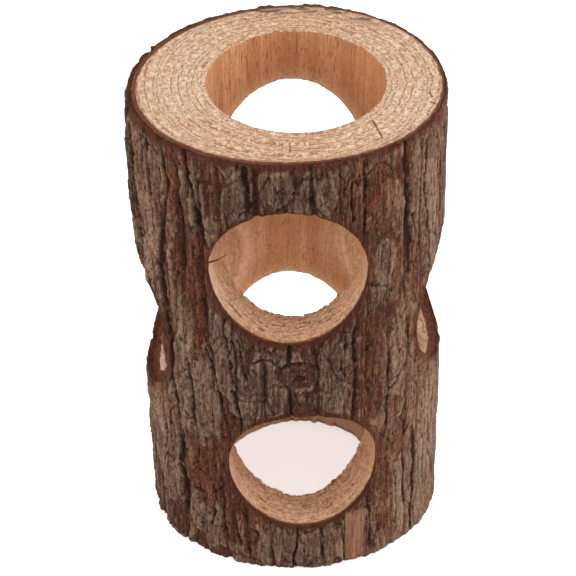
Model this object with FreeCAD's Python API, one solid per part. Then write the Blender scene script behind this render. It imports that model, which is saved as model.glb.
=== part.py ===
"""Hollow-log hamster house: one length of natural log with its bark left on.

The log is bored through from end to end, and three round holes are drilled right
through it from side to side: an upper and a lower one from front to back, and one
from left to right about midway. Its pieces are the wood, the thin inner bark
that sheathes it, and the furrowed outer bark, which stands on the inner bark as
separate upright ridges of broken plates around one knot.

+Z is up, -Y is the front and +X is to the right. While the log is modelled, its base
is at z = 0 and the bore's axis is x = y = 0. Lengths are in millimetres.
"""
import FreeCAD, Part
import math
import os

Vector = FreeCAD.Vector

# The log, measured on the bare wood under the bark.
LOG_HEIGHT = 145.5
WOOD_RADIUS = 39.4          # mean radius at the sawn top
BASE_NARROWING = 0.6        # how much smaller that radius is at the base
OVAL_SWELL = 2.0            # the section is this much wider along OVAL_ANGLE, and narrower across it
OVAL_ANGLE = 10.0
LOBE_SWELL = 0.45           # height of the three low lobes of the section
LOBE_ANGLE = 78.0
TOP_CENTRE = (-1.6, -0.4)   # centre of the sawn top, from the bore's axis
BASE_CENTRE = (0.5, 0.0)   # centre of the sawn base, from the bore's axis
FLAT_COUNT = 40             # the log's side is made of this many narrow flats
TOP_SLOPE = 0.017           # the top is sawn a little out of level, and rises this much per length to the back

# The drilled holes. An offset is sideways from the bore's axis, a turn is about +Z,
# and a tilt is upwards along the drill's way: to the back, or to the right.
BORE_DIAMETER = 48.8
UPPER_HOLE_DIAMETER = 44.0
UPPER_HOLE_OFFSET = -1.9
UPPER_HOLE_TURN = 0.6
UPPER_HOLE_TILT = 0.8
LOWER_HOLE_DIAMETER = 43.2
LOWER_HOLE_OFFSET = -1.4
LOWER_HOLE_TURN = -4.9
LOWER_HOLE_TILT = 1.4
SIDE_HOLE_DIAMETER = 44.4
SIDE_HOLE_OFFSET = -2.4
SIDE_HOLE_TURN = 2.9
SIDE_HOLE_TILT = 4.5
HOLE_PITCH = 34.0           # rise from one hole's level to the next
DRILLING_LIFT = 0.9         # how far the middle of the three levels is above mid-height
SIDE_HOLE_LIFT = 1.6        # how far the side hole's centre is above its level

# The bark.
INNER_BARK_THICKNESS = 1.0
OUTER_BARK_THICKNESS = 1.6
BARK_BIAS = 0.35            # bark is thicker on the left, and thinner on the right, by this share
THICKNESS_SPREAD = 0.3      # plates are thicker or thinner than the mean by up to this
FURROW_WIDTH = 1.2
CRACK_WIDTH = 0.9           # gap across a ridge between two plates
PLATE_LENGTH = 46.0
FURROW_WANDER = 0.7
WANDER_LENGTH = 64.0
LEVEL_STEP = 24.0           # furrows run straight between levels this far apart
TOP_WEAR = 0.8              # bark is broken away this far below the sawn top
TOP_WEAR_SLOPE = 0.7
BASE_WEAR = 0.5
BASE_WEAR_SLOPE = 0.3
HOLE_WEAR = 1.2             # outer bark is broken away about this far from a drilled edge
END_BEVEL = 2.6             # length over which a plate thins towards its broken ends

# Furrows of the front, each with its angle from +X at the top and at the base. The
# rest of the circumference carries furrows at an even pitch.
FRONT_FURROWS = (
    (-163.0, -157.0),
    (-152.5, -149.0),
    (-144.0, -140.5),
    (-135.5, -131.5),
    (-126.5, -121.5),
    (-116.0, -111.5),
    (-104.5, -101.5),
    (-93.0, -91.0),
    (-81.5, -80.5),
    (-70.5, -69.5),
    (-60.5, -59.0),
    (-50.5, -49.5),
    (-41.5, -39.5),
    (-33.5, -32.0),
    (-25.0, -23.5),
    (-16.0, -14.5),
)
BACK_RIDGE_COUNT = 21

# The deepest splits in the front's bark, apart from the furrows: half the width of each,
# then the angle and height of points along it.
SPLITS = (
    (1.2, (-142.8, 118.0), (-146.2, 101.0), (-143.6, 82.0)),
    (1.1, (-140.6, 52.0), (-142.4, 31.0), (-139.4, 11.0)),
    (1.2, (-106.0, 142.0), (-105.8, 129.0)),
    (0.9, (-156.0, 108.0), (-148.5, 102.0)),
    (0.9, (-129.4, 144.0), (-128.6, 120.0)),
    (0.8, (-121.8, 70.0), (-118.6, 53.0)),
    (0.8, (-97.4, 79.5), (-95.0, 72.0), (-94.6, 57.0)),
    (0.8, (-64.4, 94.0), (-65.5, 55.0)),
    (0.8, (-46.0, 90.0), (-44.2, 72.0)),
    (1.0, (-20.6, 138.0), (-19.8, 116.0), (-18.6, 98.0)),
    (1.1, (-36.4, 43.0), (-36.8, 2.0)),
    (1.0, (-12.0, 56.0), (-8.4, 26.0)),
)
SPLIT_FLOOR = 0.2           # bark left under a split

# The knot, an oval boss of bark between the two front holes.
KNOT_ANGLE = -88.5
KNOT_HEIGHT = 74.5
KNOT_WIDTH = 13.0
KNOT_TALLNESS = 9.0
KNOT_THICKNESS = 2.2
KNOT_GAP = 0.7
KNOT_SIDES = 16
KNOT_PROFILE = ((1.0, 0.35), (0.8, 0.8), (0.45, 1.0))   # share of its size, share of its thickness

# Shares and reaches that are no sizes of the log.
CROWN_PROFILE = ((0.0, 0.5), (0.28, 1.0), (0.7, 1.0), (1.0, 0.5))
CROWN_ROUGHNESS = 0.13      # how uneven a crown is, as a share of its height
RIM_SIDES = 20              # a broken bark edge round a hole has this many straight breaks
RIM_ROUGHNESS = 0.4         # how uneven that edge is, as a share of its wear
END_THINNING = 0.5          # thickness of a plate at its very ends, as a share of its middle's
BREAK_SHIFT = 0.3           # how far a break strays from an even spacing, as a share of a plate
BREAK_SLANT = 0.35
SEAT_DEPTH = 0.6            # how far a plate is drawn under its seat before it is trimmed
OVERRUN = 10.0              # how far cutters reach past what they cut
SMALLEST_SHARE = 0.03       # what a cut leaves of a plate has fallen off if it is less than this share of it
FULL_TURN = 360.0


def jitter(*seeds):
    """Return a fixed number from -1 to 1 that looks random over its seeds."""
    mix = sum(seed * weight for seed, weight in zip(seeds, (12.9898, 78.233, 37.719)))
    wave = math.sin(mix) * 43758.5453
    return 2.0 * (wave - math.floor(wave)) - 1.0


def faceted_solid(sections, flat_sides=False):
    """Return the solid through closed flat sections, with flat sides or pairs of triangles."""
    faces = [Part.Face(Part.makePolygon(section + section[:1])) for section in (sections[0], sections[-1])]
    for lower, upper in zip(sections, sections[1:]):
        for step in range(len(lower)):
            following = (step + 1) % len(lower)
            corners = [lower[step], lower[following], upper[following], upper[step]]
            if flat_sides:
                faces.append(Part.Face(Part.makePolygon(corners + corners[:1])))
            else:
                faces.append(Part.Face(Part.makePolygon(corners[:3] + corners[:1])))
                faces.append(Part.Face(Part.makePolygon([corners[0], corners[2], corners[3], corners[0]])))
    shell = Part.Shell(faces)
    shell.sewShape()
    solid = Part.Solid(shell)
    if solid.Volume < 0.0:
        solid.reverse()
    return solid


# ---- the log's section ----

def section_scale(height):
    """Return the section's size at a height, as a share of its size at the top."""
    return 1.0 - BASE_NARROWING / WOOD_RADIUS * (1.0 - height / LOG_HEIGHT)


def section_centre(height):
    """Return the centre of the log's section at a height."""
    share = height / LOG_HEIGHT
    return tuple(base + (top - base) * share for base, top in zip(BASE_CENTRE, TOP_CENTRE))


def log_point(angle, height, cover):
    """Return the point at an angle in degrees, at a mean cover of bark over the wood's surface."""
    oval = OVAL_SWELL * math.cos(2.0 * math.radians(angle - OVAL_ANGLE))
    lobes = LOBE_SWELL * math.cos(3.0 * math.radians(angle - LOBE_ANGLE))
    turn = math.radians(angle)
    bark = cover * (1.0 - BARK_BIAS * math.cos(turn))
    radius = (WOOD_RADIUS + oval + lobes + bark) * section_scale(height)
    centre_x, centre_y = section_centre(height)
    return Vector(centre_x + radius * math.cos(turn), centre_y + radius * math.sin(turn), height)


def top_height(depth):
    """Return the sawn top's height at a depth towards the back, from the bore's axis."""
    return LOG_HEIGHT + TOP_SLOPE * depth


def sawn_space():
    """Return the space between the planes of the sawn base and the sawn top."""
    reach = 2.0 * (WOOD_RADIUS + OVERRUN)
    corners = [Vector(-reach, -reach, 0.0), Vector(-reach, reach, 0.0),
               Vector(-reach, reach, top_height(reach)), Vector(-reach, -reach, top_height(-reach))]
    return Part.Face(Part.makePolygon(corners + corners[:1])).extrude(Vector(2.0 * reach, 0.0, 0.0))


def log_solid(cover):
    """Return the log from base to top, with a cover over the wood's surface."""
    angles = [FULL_TURN * step / FLAT_COUNT for step in range(FLAT_COUNT)]
    outlines = [[log_point(angle, height, cover) for angle in angles] for height in (0.0, LOG_HEIGHT + OVERRUN)]
    return faceted_solid(outlines, flat_sides=True).common(sawn_space())


# ---- the drilled holes ----

MIDDLE_LEVEL = LOG_HEIGHT / 2.0 + DRILLING_LIFT
UPPER_HOLE_HEIGHT = MIDDLE_LEVEL + HOLE_PITCH
LOWER_HOLE_HEIGHT = MIDDLE_LEVEL - HOLE_PITCH
SIDE_HOLE_HEIGHT = MIDDLE_LEVEL + SIDE_HOLE_LIFT


def tilted(direction, tilt):
    """Return a level direction tilted upwards."""
    return (direction + Vector(0.0, 0.0, math.tan(math.radians(tilt)))).normalize()


def cross_hole_lines():
    """Return each side-to-side hole's diameter, a point on its axis, and its direction."""
    lines = []
    for diameter, offset, turn, tilt, height in (
            (UPPER_HOLE_DIAMETER, UPPER_HOLE_OFFSET, UPPER_HOLE_TURN, UPPER_HOLE_TILT, UPPER_HOLE_HEIGHT),
            (LOWER_HOLE_DIAMETER, LOWER_HOLE_OFFSET, LOWER_HOLE_TURN, LOWER_HOLE_TILT, LOWER_HOLE_HEIGHT)):
        across, along = math.cos(math.radians(turn)), math.sin(math.radians(turn))
        centre = Vector(offset * across, -offset * along, height)
        lines.append((diameter, centre, tilted(Vector(along, across, 0.0), tilt)))
    across, along = math.cos(math.radians(SIDE_HOLE_TURN)), math.sin(math.radians(SIDE_HOLE_TURN))
    side_centre = Vector(-SIDE_HOLE_OFFSET * along, SIDE_HOLE_OFFSET * across, SIDE_HOLE_HEIGHT)
    lines.append((SIDE_HOLE_DIAMETER, side_centre, tilted(Vector(across, along, 0.0), SIDE_HOLE_TILT)))
    return lines


def drill_reach():
    """Return how far to each side of the bore's axis a cross hole is cut."""
    return 1.5 * WOOD_RADIUS + OVERRUN


def cross_holes():
    """Return the three drilled cylinders."""
    reach = drill_reach()
    return [Part.makeCylinder(diameter / 2.0, 2.0 * reach, centre - axis * reach, axis)
            for diameter, centre, axis in cross_hole_lines()]


def broken_rims():
    """Return the space left free of outer bark round each hole, with an uneven edge."""
    reach = drill_reach()
    rims = []
    for number, (diameter, centre, axis) in enumerate(cross_hole_lines()):
        across = axis.cross(Vector(0.0, 0.0, 1.0)).normalize()
        upwards = across.cross(axis)
        spokes = []
        for step in range(RIM_SIDES):
            angle = 2.0 * math.pi * step / RIM_SIDES
            wear = HOLE_WEAR * (1.0 + RIM_ROUGHNESS * jitter(step, number, 7))
            radius = (diameter / 2.0 + wear) / math.cos(math.pi / RIM_SIDES)
            spokes.append(across * (radius * math.cos(angle)) + upwards * (radius * math.sin(angle)))
        ends = [[centre + axis * place + spoke for spoke in spokes] for place in (-reach, reach)]
        rims.append(faceted_solid(ends, flat_sides=True))
    return rims


def bore():
    """Return the cylinder that bores the log from end to end."""
    return Part.makeCylinder(BORE_DIAMETER / 2.0, LOG_HEIGHT + 2.0 * OVERRUN, Vector(0.0, 0.0, -OVERRUN))


def wood_body():
    """Return the log without its bark, bored and drilled."""
    return log_solid(0.0).cut([bore()] + cross_holes())


def inner_bark():
    """Return the thin sheath of inner bark, open at the sawn ends and at every hole."""
    return log_solid(INNER_BARK_THICKNESS).cut([log_solid(0.0)] + cross_holes())


# ---- the furrowed outer bark ----

def furrow_lines():
    """Return each furrow's angles at the top and at the base, once round the log."""
    lines = list(FRONT_FURROWS)
    first, last = lines[0], lines[-1]
    for step in range(1, BACK_RIDGE_COUNT):
        share = step / BACK_RIDGE_COUNT
        lines.append(tuple(end + (start + FULL_TURN - end) * share for start, end in zip(first, last)))
    return lines


def bark_levels():
    """Return the heights at which furrows may bend."""
    count = max(2, round(LOG_HEIGHT / LEVEL_STEP))
    return [LOG_HEIGHT * step / count for step in range(count + 1)]


def furrow_angle_at_level(lines, furrow, height):
    """Return a furrow's angle at one of the bark's levels."""
    top_angle, base_angle = lines[furrow % len(lines)]
    whole_turns = FULL_TURN * (furrow // len(lines))
    straight = base_angle + (top_angle - base_angle) * height / LOG_HEIGHT
    phase = math.pi * jitter(furrow % len(lines), 3)
    sway = FURROW_WANDER * math.sin(2.0 * math.pi * height / WANDER_LENGTH + phase)
    return straight + whole_turns + math.degrees(sway / WOOD_RADIUS)


def furrow_angle(lines, furrow, height):
    """Return a furrow's angle at any height, straight between the levels."""
    levels = bark_levels()
    for low, high in zip(levels, levels[1:]):
        if height <= high or high == levels[-1]:
            low_angle = furrow_angle_at_level(lines, furrow, low)
            high_angle = furrow_angle_at_level(lines, furrow, high)
            return low_angle + (high_angle - low_angle) * (height - low) / (high - low)


def ridge_section(lines, ridge, height, slant, lean, thickness):
    """Return a plate's closed section, on a plane that slants across and leans outwards."""
    middle = (furrow_angle(lines, ridge, height) + furrow_angle(lines, ridge + 1, height)) / 2.0
    seat = log_point(middle, height, INNER_BARK_THICKNESS)
    turn = math.radians(middle)
    across = Vector(-math.sin(turn), math.cos(turn), 0.0)
    outward = Vector(math.cos(turn), math.sin(turn), 0.0)
    margin = math.degrees(FURROW_WIDTH / 2.0 / WOOD_RADIUS)
    corners = [(0.0, -SEAT_DEPTH)]
    corners += [(place, share * thickness) for place, share in CROWN_PROFILE]
    corners += [(1.0, -SEAT_DEPTH)]
    points = []
    for corner, (place, rise) in enumerate(corners):
        if rise > 0.0:
            rise *= 1.0 + CROWN_ROUGHNESS * jitter(ridge, corner, height / LOG_HEIGHT)
        corner_height = height
        for _ in range(2):
            left = furrow_angle(lines, ridge, corner_height) + margin
            right = furrow_angle(lines, ridge + 1, corner_height) - margin
            point = log_point(left + (right - left) * place, corner_height, INNER_BARK_THICKNESS + rise)
            offset = Vector(point.x - seat.x, point.y - seat.y, 0.0)
            corner_height = height + slant * offset.dot(across) + lean * offset.dot(outward)
        points.append(Vector(point.x, point.y, corner_height))
    return points


def plate_breaks(ridge):
    """Return the heights and slants at which a ridge is broken across."""
    count = max(1, round(LOG_HEIGHT / PLATE_LENGTH))
    breaks = []
    for step in range(1, count):
        height = LOG_HEIGHT * (step + BREAK_SHIFT * jitter(ridge, step, 1)) / count
        breaks.append((height, BREAK_SLANT * jitter(ridge, step, 2)))
    return breaks


def bark_plate(lines, ridge, low_end, high_end, thickness):
    """Return one plate of a ridge, between two ends given as height, slant and lean."""
    low, low_slant, low_lean = low_end
    high, high_slant, high_lean = high_end
    thin = thickness * END_THINNING
    sections = [ridge_section(lines, ridge, low, low_slant, low_lean, thin),
                ridge_section(lines, ridge, low + END_BEVEL, low_slant, low_lean, thickness)]
    for level in bark_levels():
        if low + 2.5 * END_BEVEL < level < high - 2.5 * END_BEVEL:
            sections.append(ridge_section(lines, ridge, level, 0.0, 0.0, thickness))
    sections.append(ridge_section(lines, ridge, high - END_BEVEL, high_slant, high_lean, thickness))
    sections.append(ridge_section(lines, ridge, high, high_slant, high_lean, thin))
    return faceted_solid(sections)


def ridge_top(lines, ridge):
    """Return a ridge's top end, just under the sawn top and parallel to it but for its wear."""
    middle = (furrow_angle(lines, ridge, LOG_HEIGHT) + furrow_angle(lines, ridge + 1, LOG_HEIGHT)) / 2.0
    depth = log_point(middle, LOG_HEIGHT, INNER_BARK_THICKNESS).y
    turn = math.radians(middle)
    return top_height(depth) - TOP_WEAR, TOP_SLOPE * math.cos(turn), TOP_SLOPE * math.sin(turn) - TOP_WEAR_SLOPE


def bark_ridge(lines, ridge, seat, cutters):
    """Return one upright ridge of outer bark as separate plates, seated on the inner bark."""
    gap = CRACK_WIDTH / 2.0
    lows = [(BASE_WEAR, 0.0, BASE_WEAR_SLOPE)]
    highs = []
    for height, slant in plate_breaks(ridge):
        highs.append((height - gap, slant, 0.0))
        lows.append((height + gap, slant, 0.0))
    highs.append(ridge_top(lines, ridge))
    plates = []
    for step, (low_end, high_end) in enumerate(zip(lows, highs)):
        thickness = OUTER_BARK_THICKNESS + THICKNESS_SPREAD * jitter(ridge, step, 5)
        plate = bark_plate(lines, ridge, low_end, high_end, thickness)
        trimmed = plate.cut([seat] + [tool for tool in cutters if tool.BoundBox.intersect(plate.BoundBox)])
        plates += [solid for solid in trimmed.Solids if solid.Volume > SMALLEST_SHARE * plate.Volume]
    return Part.makeCompound(plates)


def bark_splits():
    """Return the wedges of space that the front's deepest splits take from its plates."""
    brim = INNER_BARK_THICKNESS + 2.0 * OUTER_BARK_THICKNESS
    wedges = []
    for half_width, *points in SPLITS:
        sections = []
        for number, (angle, height) in enumerate(points):
            at_end = number in (0, len(points) - 1)
            brim_reach = math.degrees((0.5 if at_end else 2.0) * half_width / WOOD_RADIUS)
            floor = INNER_BARK_THICKNESS + (OUTER_BARK_THICKNESS / 2.0 if at_end else SPLIT_FLOOR)
            sections.append([log_point(angle - brim_reach, height, brim), log_point(angle, height, floor),
                             log_point(angle + brim_reach, height, brim)])
        wedges.append(faceted_solid(sections))
    return wedges


# ---- the knot ----

def knot_oval(depth, width, tallness, sides):
    """Return the corners of an upright oval about the knot, at a depth outwards from its seat."""
    middle = log_point(KNOT_ANGLE, KNOT_HEIGHT, INNER_BARK_THICKNESS)
    turn = math.radians(KNOT_ANGLE)
    across = Vector(-math.sin(turn), math.cos(turn), 0.0)
    outward = Vector(math.cos(turn), math.sin(turn), 0.0)
    points = []
    for step in range(sides):
        angle = 2.0 * math.pi * step / sides
        side = across * (width / 2.0 * math.cos(angle))
        rise = Vector(0.0, 0.0, tallness / 2.0 * math.sin(angle))
        points.append(middle + outward * depth + side + rise)
    return points


def knot_clearance():
    """Return the oval plug of space that the bark's ridges leave for the knot."""
    width = KNOT_WIDTH + 2.0 * KNOT_GAP
    tallness = KNOT_TALLNESS + 2.0 * KNOT_GAP
    return faceted_solid([knot_oval(depth, width, tallness, KNOT_SIDES) for depth in (-OVERRUN / 2.0, OVERRUN)], True)


def bark_knot(seat):
    """Return the knot: a low oval boss with a rounded crown, seated on the inner bark."""
    sections = [knot_oval(-2.0 * SEAT_DEPTH, KNOT_WIDTH, KNOT_TALLNESS, KNOT_SIDES)]
    for size, rise in KNOT_PROFILE:
        sections.append(knot_oval(KNOT_THICKNESS * rise, KNOT_WIDTH * size, KNOT_TALLNESS * size, KNOT_SIDES))
    return faceted_solid(sections, True).cut(seat)


# ---- the whole ----

def outer_bark():
    """Return every ridge of outer bark and the knot, by node name."""
    lines = furrow_lines()
    seat = log_solid(INNER_BARK_THICKNESS)
    cutters = broken_rims() + bark_splits() + [knot_clearance()]
    nodes = {"bark_knot": bark_knot(seat)}
    for ridge in range(len(lines)):
        nodes["bark_ridge_%02d" % (ridge + 1)] = bark_ridge(lines, ridge, seat, cutters)
    return nodes


def main():
    """Build every node, put the origin under the middle of the whole, and write the files."""
    nodes = {"wood_body": wood_body(), "inner_bark": inner_bark()}
    nodes.update(outer_bark())
    box = FreeCAD.BoundBox()
    for shape in nodes.values():
        box.add(shape.optimalBoundingBox(False, False))
    recentre = Vector(-box.Center.x, -box.Center.y, -box.ZMin)
    os.makedirs("parts", exist_ok=True)
    for name, shape in nodes.items():
        shape.translate(recentre)
        shape.exportStep("parts/%s.step" % name)
        print(name, len(shape.Solids), "solids", round(shape.Volume, 1), "mm3")
    print("box", [round(size, 2) for size in (box.XLength, box.YLength, box.ZLength)])
    print("bore axis now at", round(recentre.x, 3), round(recentre.y, 3))


main()
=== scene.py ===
"""Scene: the hollow-log hamster house, dressed in its wood and its bark.

The log's shape comes from the same driving sizes as the CAD model, and every piece
made here stands in for the CAD node that it is named after. Shapes are worked out in
millimetres, from the base up and about the bore's axis, and are written to the meshes
in metres. Angles round the log are in degrees from +X, and a cover is a height over the
bare wood. The bark is one uneven surface over angle and height, and each ridge of it is
a closed piece between two furrows. The first number that a shape's noise takes is its seed.
"""

import math

import bmesh
import bpy
import numpy as np
from mathutils import Matrix, Vector


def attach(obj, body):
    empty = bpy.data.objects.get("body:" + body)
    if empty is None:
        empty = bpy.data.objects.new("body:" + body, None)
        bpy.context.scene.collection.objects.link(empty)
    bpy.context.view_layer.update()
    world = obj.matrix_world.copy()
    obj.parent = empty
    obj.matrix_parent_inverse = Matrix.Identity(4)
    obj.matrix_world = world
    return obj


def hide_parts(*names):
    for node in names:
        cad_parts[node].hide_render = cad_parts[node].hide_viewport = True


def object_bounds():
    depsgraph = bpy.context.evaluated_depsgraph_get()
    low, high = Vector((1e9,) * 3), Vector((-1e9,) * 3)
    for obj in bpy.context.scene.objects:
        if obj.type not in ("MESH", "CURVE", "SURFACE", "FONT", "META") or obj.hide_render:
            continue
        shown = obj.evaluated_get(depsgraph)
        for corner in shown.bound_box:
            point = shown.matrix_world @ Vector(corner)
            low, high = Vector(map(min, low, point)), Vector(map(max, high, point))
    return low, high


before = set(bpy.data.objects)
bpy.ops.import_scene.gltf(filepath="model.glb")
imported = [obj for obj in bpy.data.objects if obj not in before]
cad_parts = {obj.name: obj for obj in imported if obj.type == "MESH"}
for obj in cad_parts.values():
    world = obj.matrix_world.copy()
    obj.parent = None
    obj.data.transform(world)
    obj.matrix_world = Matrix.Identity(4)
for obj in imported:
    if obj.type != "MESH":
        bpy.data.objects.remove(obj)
cad_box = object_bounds()

MM = 0.001
FULL_TURN = 2.0 * math.pi

# ---- driving sizes, as in the CAD model ----
LOG_HEIGHT = 145.5
WOOD_RADIUS = 39.4
BASE_NARROWING = 0.6
OVAL_SWELL = 2.0
OVAL_ANGLE = 10.0
LOBE_SWELL = 0.45
LOBE_ANGLE = 78.0
TOP_CENTRE = (-1.6, -0.4)
BASE_CENTRE = (0.5, 0.0)
TOP_SLOPE = 0.017
BORE_RADIUS = 24.4
MIDDLE_LEVEL = LOG_HEIGHT / 2.0 + 0.9
SIDE_HOLE_LIFT = 1.6
HOLE_PITCH = 34.0
INNER_BARK = 1.0
OUTER_BARK = 1.6
BARK_BIAS = 0.35
FURROW_WANDER = 0.7
WANDER_LENGTH = 64.0
LEVEL_COUNT = 6
FRONT_FURROWS = (
    (-163.0, -157.0), (-152.5, -149.0), (-144.0, -140.5), (-135.5, -131.5),
    (-126.5, -121.5), (-116.0, -111.5), (-104.5, -101.5), (-93.0, -91.0),
    (-81.5, -80.5), (-70.5, -69.5), (-60.5, -59.0), (-50.5, -49.5),
    (-41.5, -39.5), (-33.5, -32.0), (-25.0, -23.5), (-16.0, -14.5),
)
BACK_RIDGE_COUNT = 21
KNOT_ANGLE = -88.5
KNOT_HEIGHT = 74.5
KNOT_WIDTH = 13.0
KNOT_TALLNESS = 9.0
KNOT_THICKNESS = 2.2

# Each drilled hole: radius, sideways offset, turn and tilt in degrees, height, and whether it
# runs from left to right.
CROSS_HOLES = (
    (22.0, -1.9, 0.6, 0.8, MIDDLE_LEVEL + HOLE_PITCH, False),
    (21.6, -1.4, -4.9, 1.4, MIDDLE_LEVEL - HOLE_PITCH, False),
    (22.2, -2.4, 2.9, 4.5, MIDDLE_LEVEL + SIDE_HOLE_LIFT, True),
)

# ---- sizes of what only the scene shows ----

# The front rims of the upper and the lower hole: how far each is lower, taller than wide,
# larger, and fuller at its shoulders than the round that was drilled.
RIM_DROP = (0.0, 1.05)
RIM_OVAL = (0.6, 0.375)
RIM_GROWTH = (0.0, -0.225)
RIM_SHOULDER = (0.0, 1.9)
RIM_FADE = 12.0             # from here in front of the axis to here behind it, a rim becomes round
FLOOR_BITE = (0.6, -0.2, 0.4)   # how far each hole's floor is torn away where it meets the bore
BREAKOUT = 2.4              # how far the boring bit tore the bore's lower edge out, at the back
BREAKOUT_HEIGHT = 9.0
LEFT_STAND = 2.0            # how far the bark stands over the front rim of the left side hole
RIDGE_GAP = 0.06            # half the gap between two ridges at the bottom of a furrow
SEAT_DEPTH = 0.35           # how deep the outer bark is let into the inner
SKIN = 0.02                 # how far the inner bark is let into the wood
BOX_MARGIN = 0.02
SHEATH_INSET = (0.12, 0.25) # how far the inner bark's ends stand in from the sawn base and top
RIDGE_INSET = (0.35, 0.55)  # how far the outer bark's ends do
BARK_RANGE = (0.06, OUTER_BARK + 0.45)  # the thinnest and the thickest that the outer bark gets
FLAKE_SIZES = ((6.6, 17.0), (3.8, 8.5), (1.9, 5.0))     # width and length of large to small flakes
TOP_WEAR = 3.6              # how far down from the sawn top the bark is worn thin
BASE_WEAR = 1.4
HOLE_WEAR = 2.4
PITH = (-1.2, -0.4)
RING_PITCH = 1.9

# The torn fibre across the upper hole's wall: its ends, its sag and its radius.
LOOSE_FIBRE = ((-23.35, -33.7, 109.7), (-18.4, -36.65, 114.6))
LOOSE_FIBRE_SAG = 0.5
LOOSE_FIBRE_RADIUS = 0.3

# Drying checks in the sawn top: both ends, width and depth.
CHECKS = (
    ((20.2, -19.2), (22.4, -26.9), 0.42, 0.9),
    ((35.6, -6.0), (36.2, -8.2), 0.5, 0.8),
    ((35.7, -10.4), (36.9, -11.4), 0.5, 0.8),
    ((-1.7, -29.0), (-1.5, -33.2), 0.34, 0.5),
)

# ---- how finely things are modelled ----
MAP_TOP = LOG_HEIGHT + 1.5
MAP_STEP = 0.25
BARK_STEP = 0.34
SHEATH_STEP = 0.5
WALL_STEP = 0.5
BORE_STEP = 0.7
RIM_STEP = 0.55
CAP_COLUMNS = 560
CAP_RINGS = 44
CAP_OVERRUN = 5.0           # how far past the bore's edge the sawn ends run before it is cut
CAP_MIDDLE = (-1.0, 0.0)
EDGE_HEIGHT = 0.01          # the CAD wood's points under this height are on the sawn base,
EDGE_REACH = 6.0            # and those no further than this from the bore are on its edge
KNOT_COLUMNS = 120
KNOT_RINGS = 34
FIBRE_SIDES = 6
FIBRE_STEPS = 14
GIRTH = 264.0               # once round the bark, for laying out its texture
DRILL_REACH = 52.0          # half the length of the drums that cut the holes
BORE_OVERRUN = 3.0
FAR = 99.0                  # a distance too large to matter
TABLE = 1024                # rows and columns of the table of random numbers
NUMBERS = np.random.default_rng(20).random((TABLE, TABLE)).astype(np.float32)


# ---- small helpers ----

def ease(share):
    """Return a share from 0 to 1, eased at both ends."""
    return share * share * (3.0 - 2.0 * share)


def ramp(value, low, high):
    """Return a smooth step from 0 at low to 1 at high."""
    return ease(np.clip((value - low) / (high - low), 0.0, 1.0))


def shortest_turn(angle):
    """Return angles brought to between -180 and 180 degrees."""
    return (angle + 180.0) % 360.0 - 180.0


def place_on_girth(angle):
    """Return how far round the bark angles lie, in millimetres from the left."""
    return (angle + 180.0) / 360.0 * GIRTH


def lattice(seed, column, row, wrap):
    """Return a fixed number from 0 to 1 for each cell of a lattice that repeats every wrap columns."""
    return NUMBERS[(row + 131 * seed) % TABLE, (column % wrap + 57 * seed) % TABLE]


def noise(seed, across, upward, wrap):
    """Return smooth noise from -1 to 1 over two coordinates given in cells."""
    column, row = np.floor(across).astype(np.int64), np.floor(upward).astype(np.int64)
    right, up = ease(across - column), ease(upward - row)
    low = lattice(seed, column, row, wrap) * (1.0 - right) + lattice(seed, column + 1, row, wrap) * right
    row = row + 1
    high = lattice(seed, column, row, wrap) * (1.0 - right) + lattice(seed, column + 1, row, wrap) * right
    return 2.0 * (low * (1.0 - up) + high * up) - 1.0


def girth_noise(seed, along, height, width, length, octaves=1):
    """Return noise over the bark, with cells of a width round it and a length up it."""
    total, weight, scale = 0.0, 0.0, 1.0
    for octave in range(octaves):
        wrap = max(3, round(GIRTH / width * scale))
        cell = noise(seed + 17 * octave, along * (wrap / GIRTH), height * (scale / length), wrap)
        total = total + cell / scale
        weight += 1.0 / scale
        scale *= 2.0
    return total / weight


def wall_noise(seed, turn, along, wrap, length, finer=1.0):
    """Return noise over a round wall, with cells of a length along it and wrap times finer cells round it."""
    return noise(seed, finer * (turn / FULL_TURN * wrap), along / length, round(finer * wrap))


def flake_cells(seed, along, height, width, length):
    """Return points' distances to their cells' ragged borders, two numbers per cell, and their rise in it."""
    wrap = round(GIRTH / width)
    across, upward = along * (wrap / GIRTH), height / length
    column, row = np.floor(across).astype(np.int64), np.floor(upward).astype(np.int64)
    nearest = np.full(across.shape, FAR)
    second = np.full(across.shape, FAR)
    number, other, rise = np.zeros((3,) + across.shape)
    for step_x in (-1, 0, 1):
        for step_y in (-1, 0, 1):
            here, there = column + step_x, row + step_y
            side = here + 0.1 + 0.8 * lattice(seed, here, there, wrap) - across
            up = there + 0.1 + 0.8 * lattice(seed + 3, here, there, wrap) - upward
            distance = np.hypot(side, up)
            closer = distance < nearest
            second = np.where(closer, nearest, np.minimum(second, distance))
            nearest = np.where(closer, distance, nearest)
            number = np.where(closer, lattice(seed + 5, here, there, wrap), number)
            other = np.where(closer, lattice(seed + 7, here, there, wrap), other)
            rise = np.where(closer, -up, rise)
    return second - nearest, number, other, rise


# ---- the log's section, holes and furrows ----

def bare_radius(angle):
    """Return the wood's radius at the top, by angle."""
    oval = OVAL_SWELL * np.cos(2.0 * np.radians(angle - OVAL_ANGLE))
    return WOOD_RADIUS + oval + LOBE_SWELL * np.cos(3.0 * np.radians(angle - LOBE_ANGLE))


def section(height):
    """Return the section's centre and its size as a share of the top's, at a height."""
    share = height / LOG_HEIGHT
    centre_x, centre_y = (base + (top - base) * share for base, top in zip(BASE_CENTRE, TOP_CENTRE))
    return centre_x, centre_y, 1.0 - BASE_NARROWING / WOOD_RADIUS * (1.0 - share)


def bark_share(angle):
    """Return how thick the bark is at angles, as a share of its mean."""
    return 1.0 - BARK_BIAS * np.cos(np.radians(angle))


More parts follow.
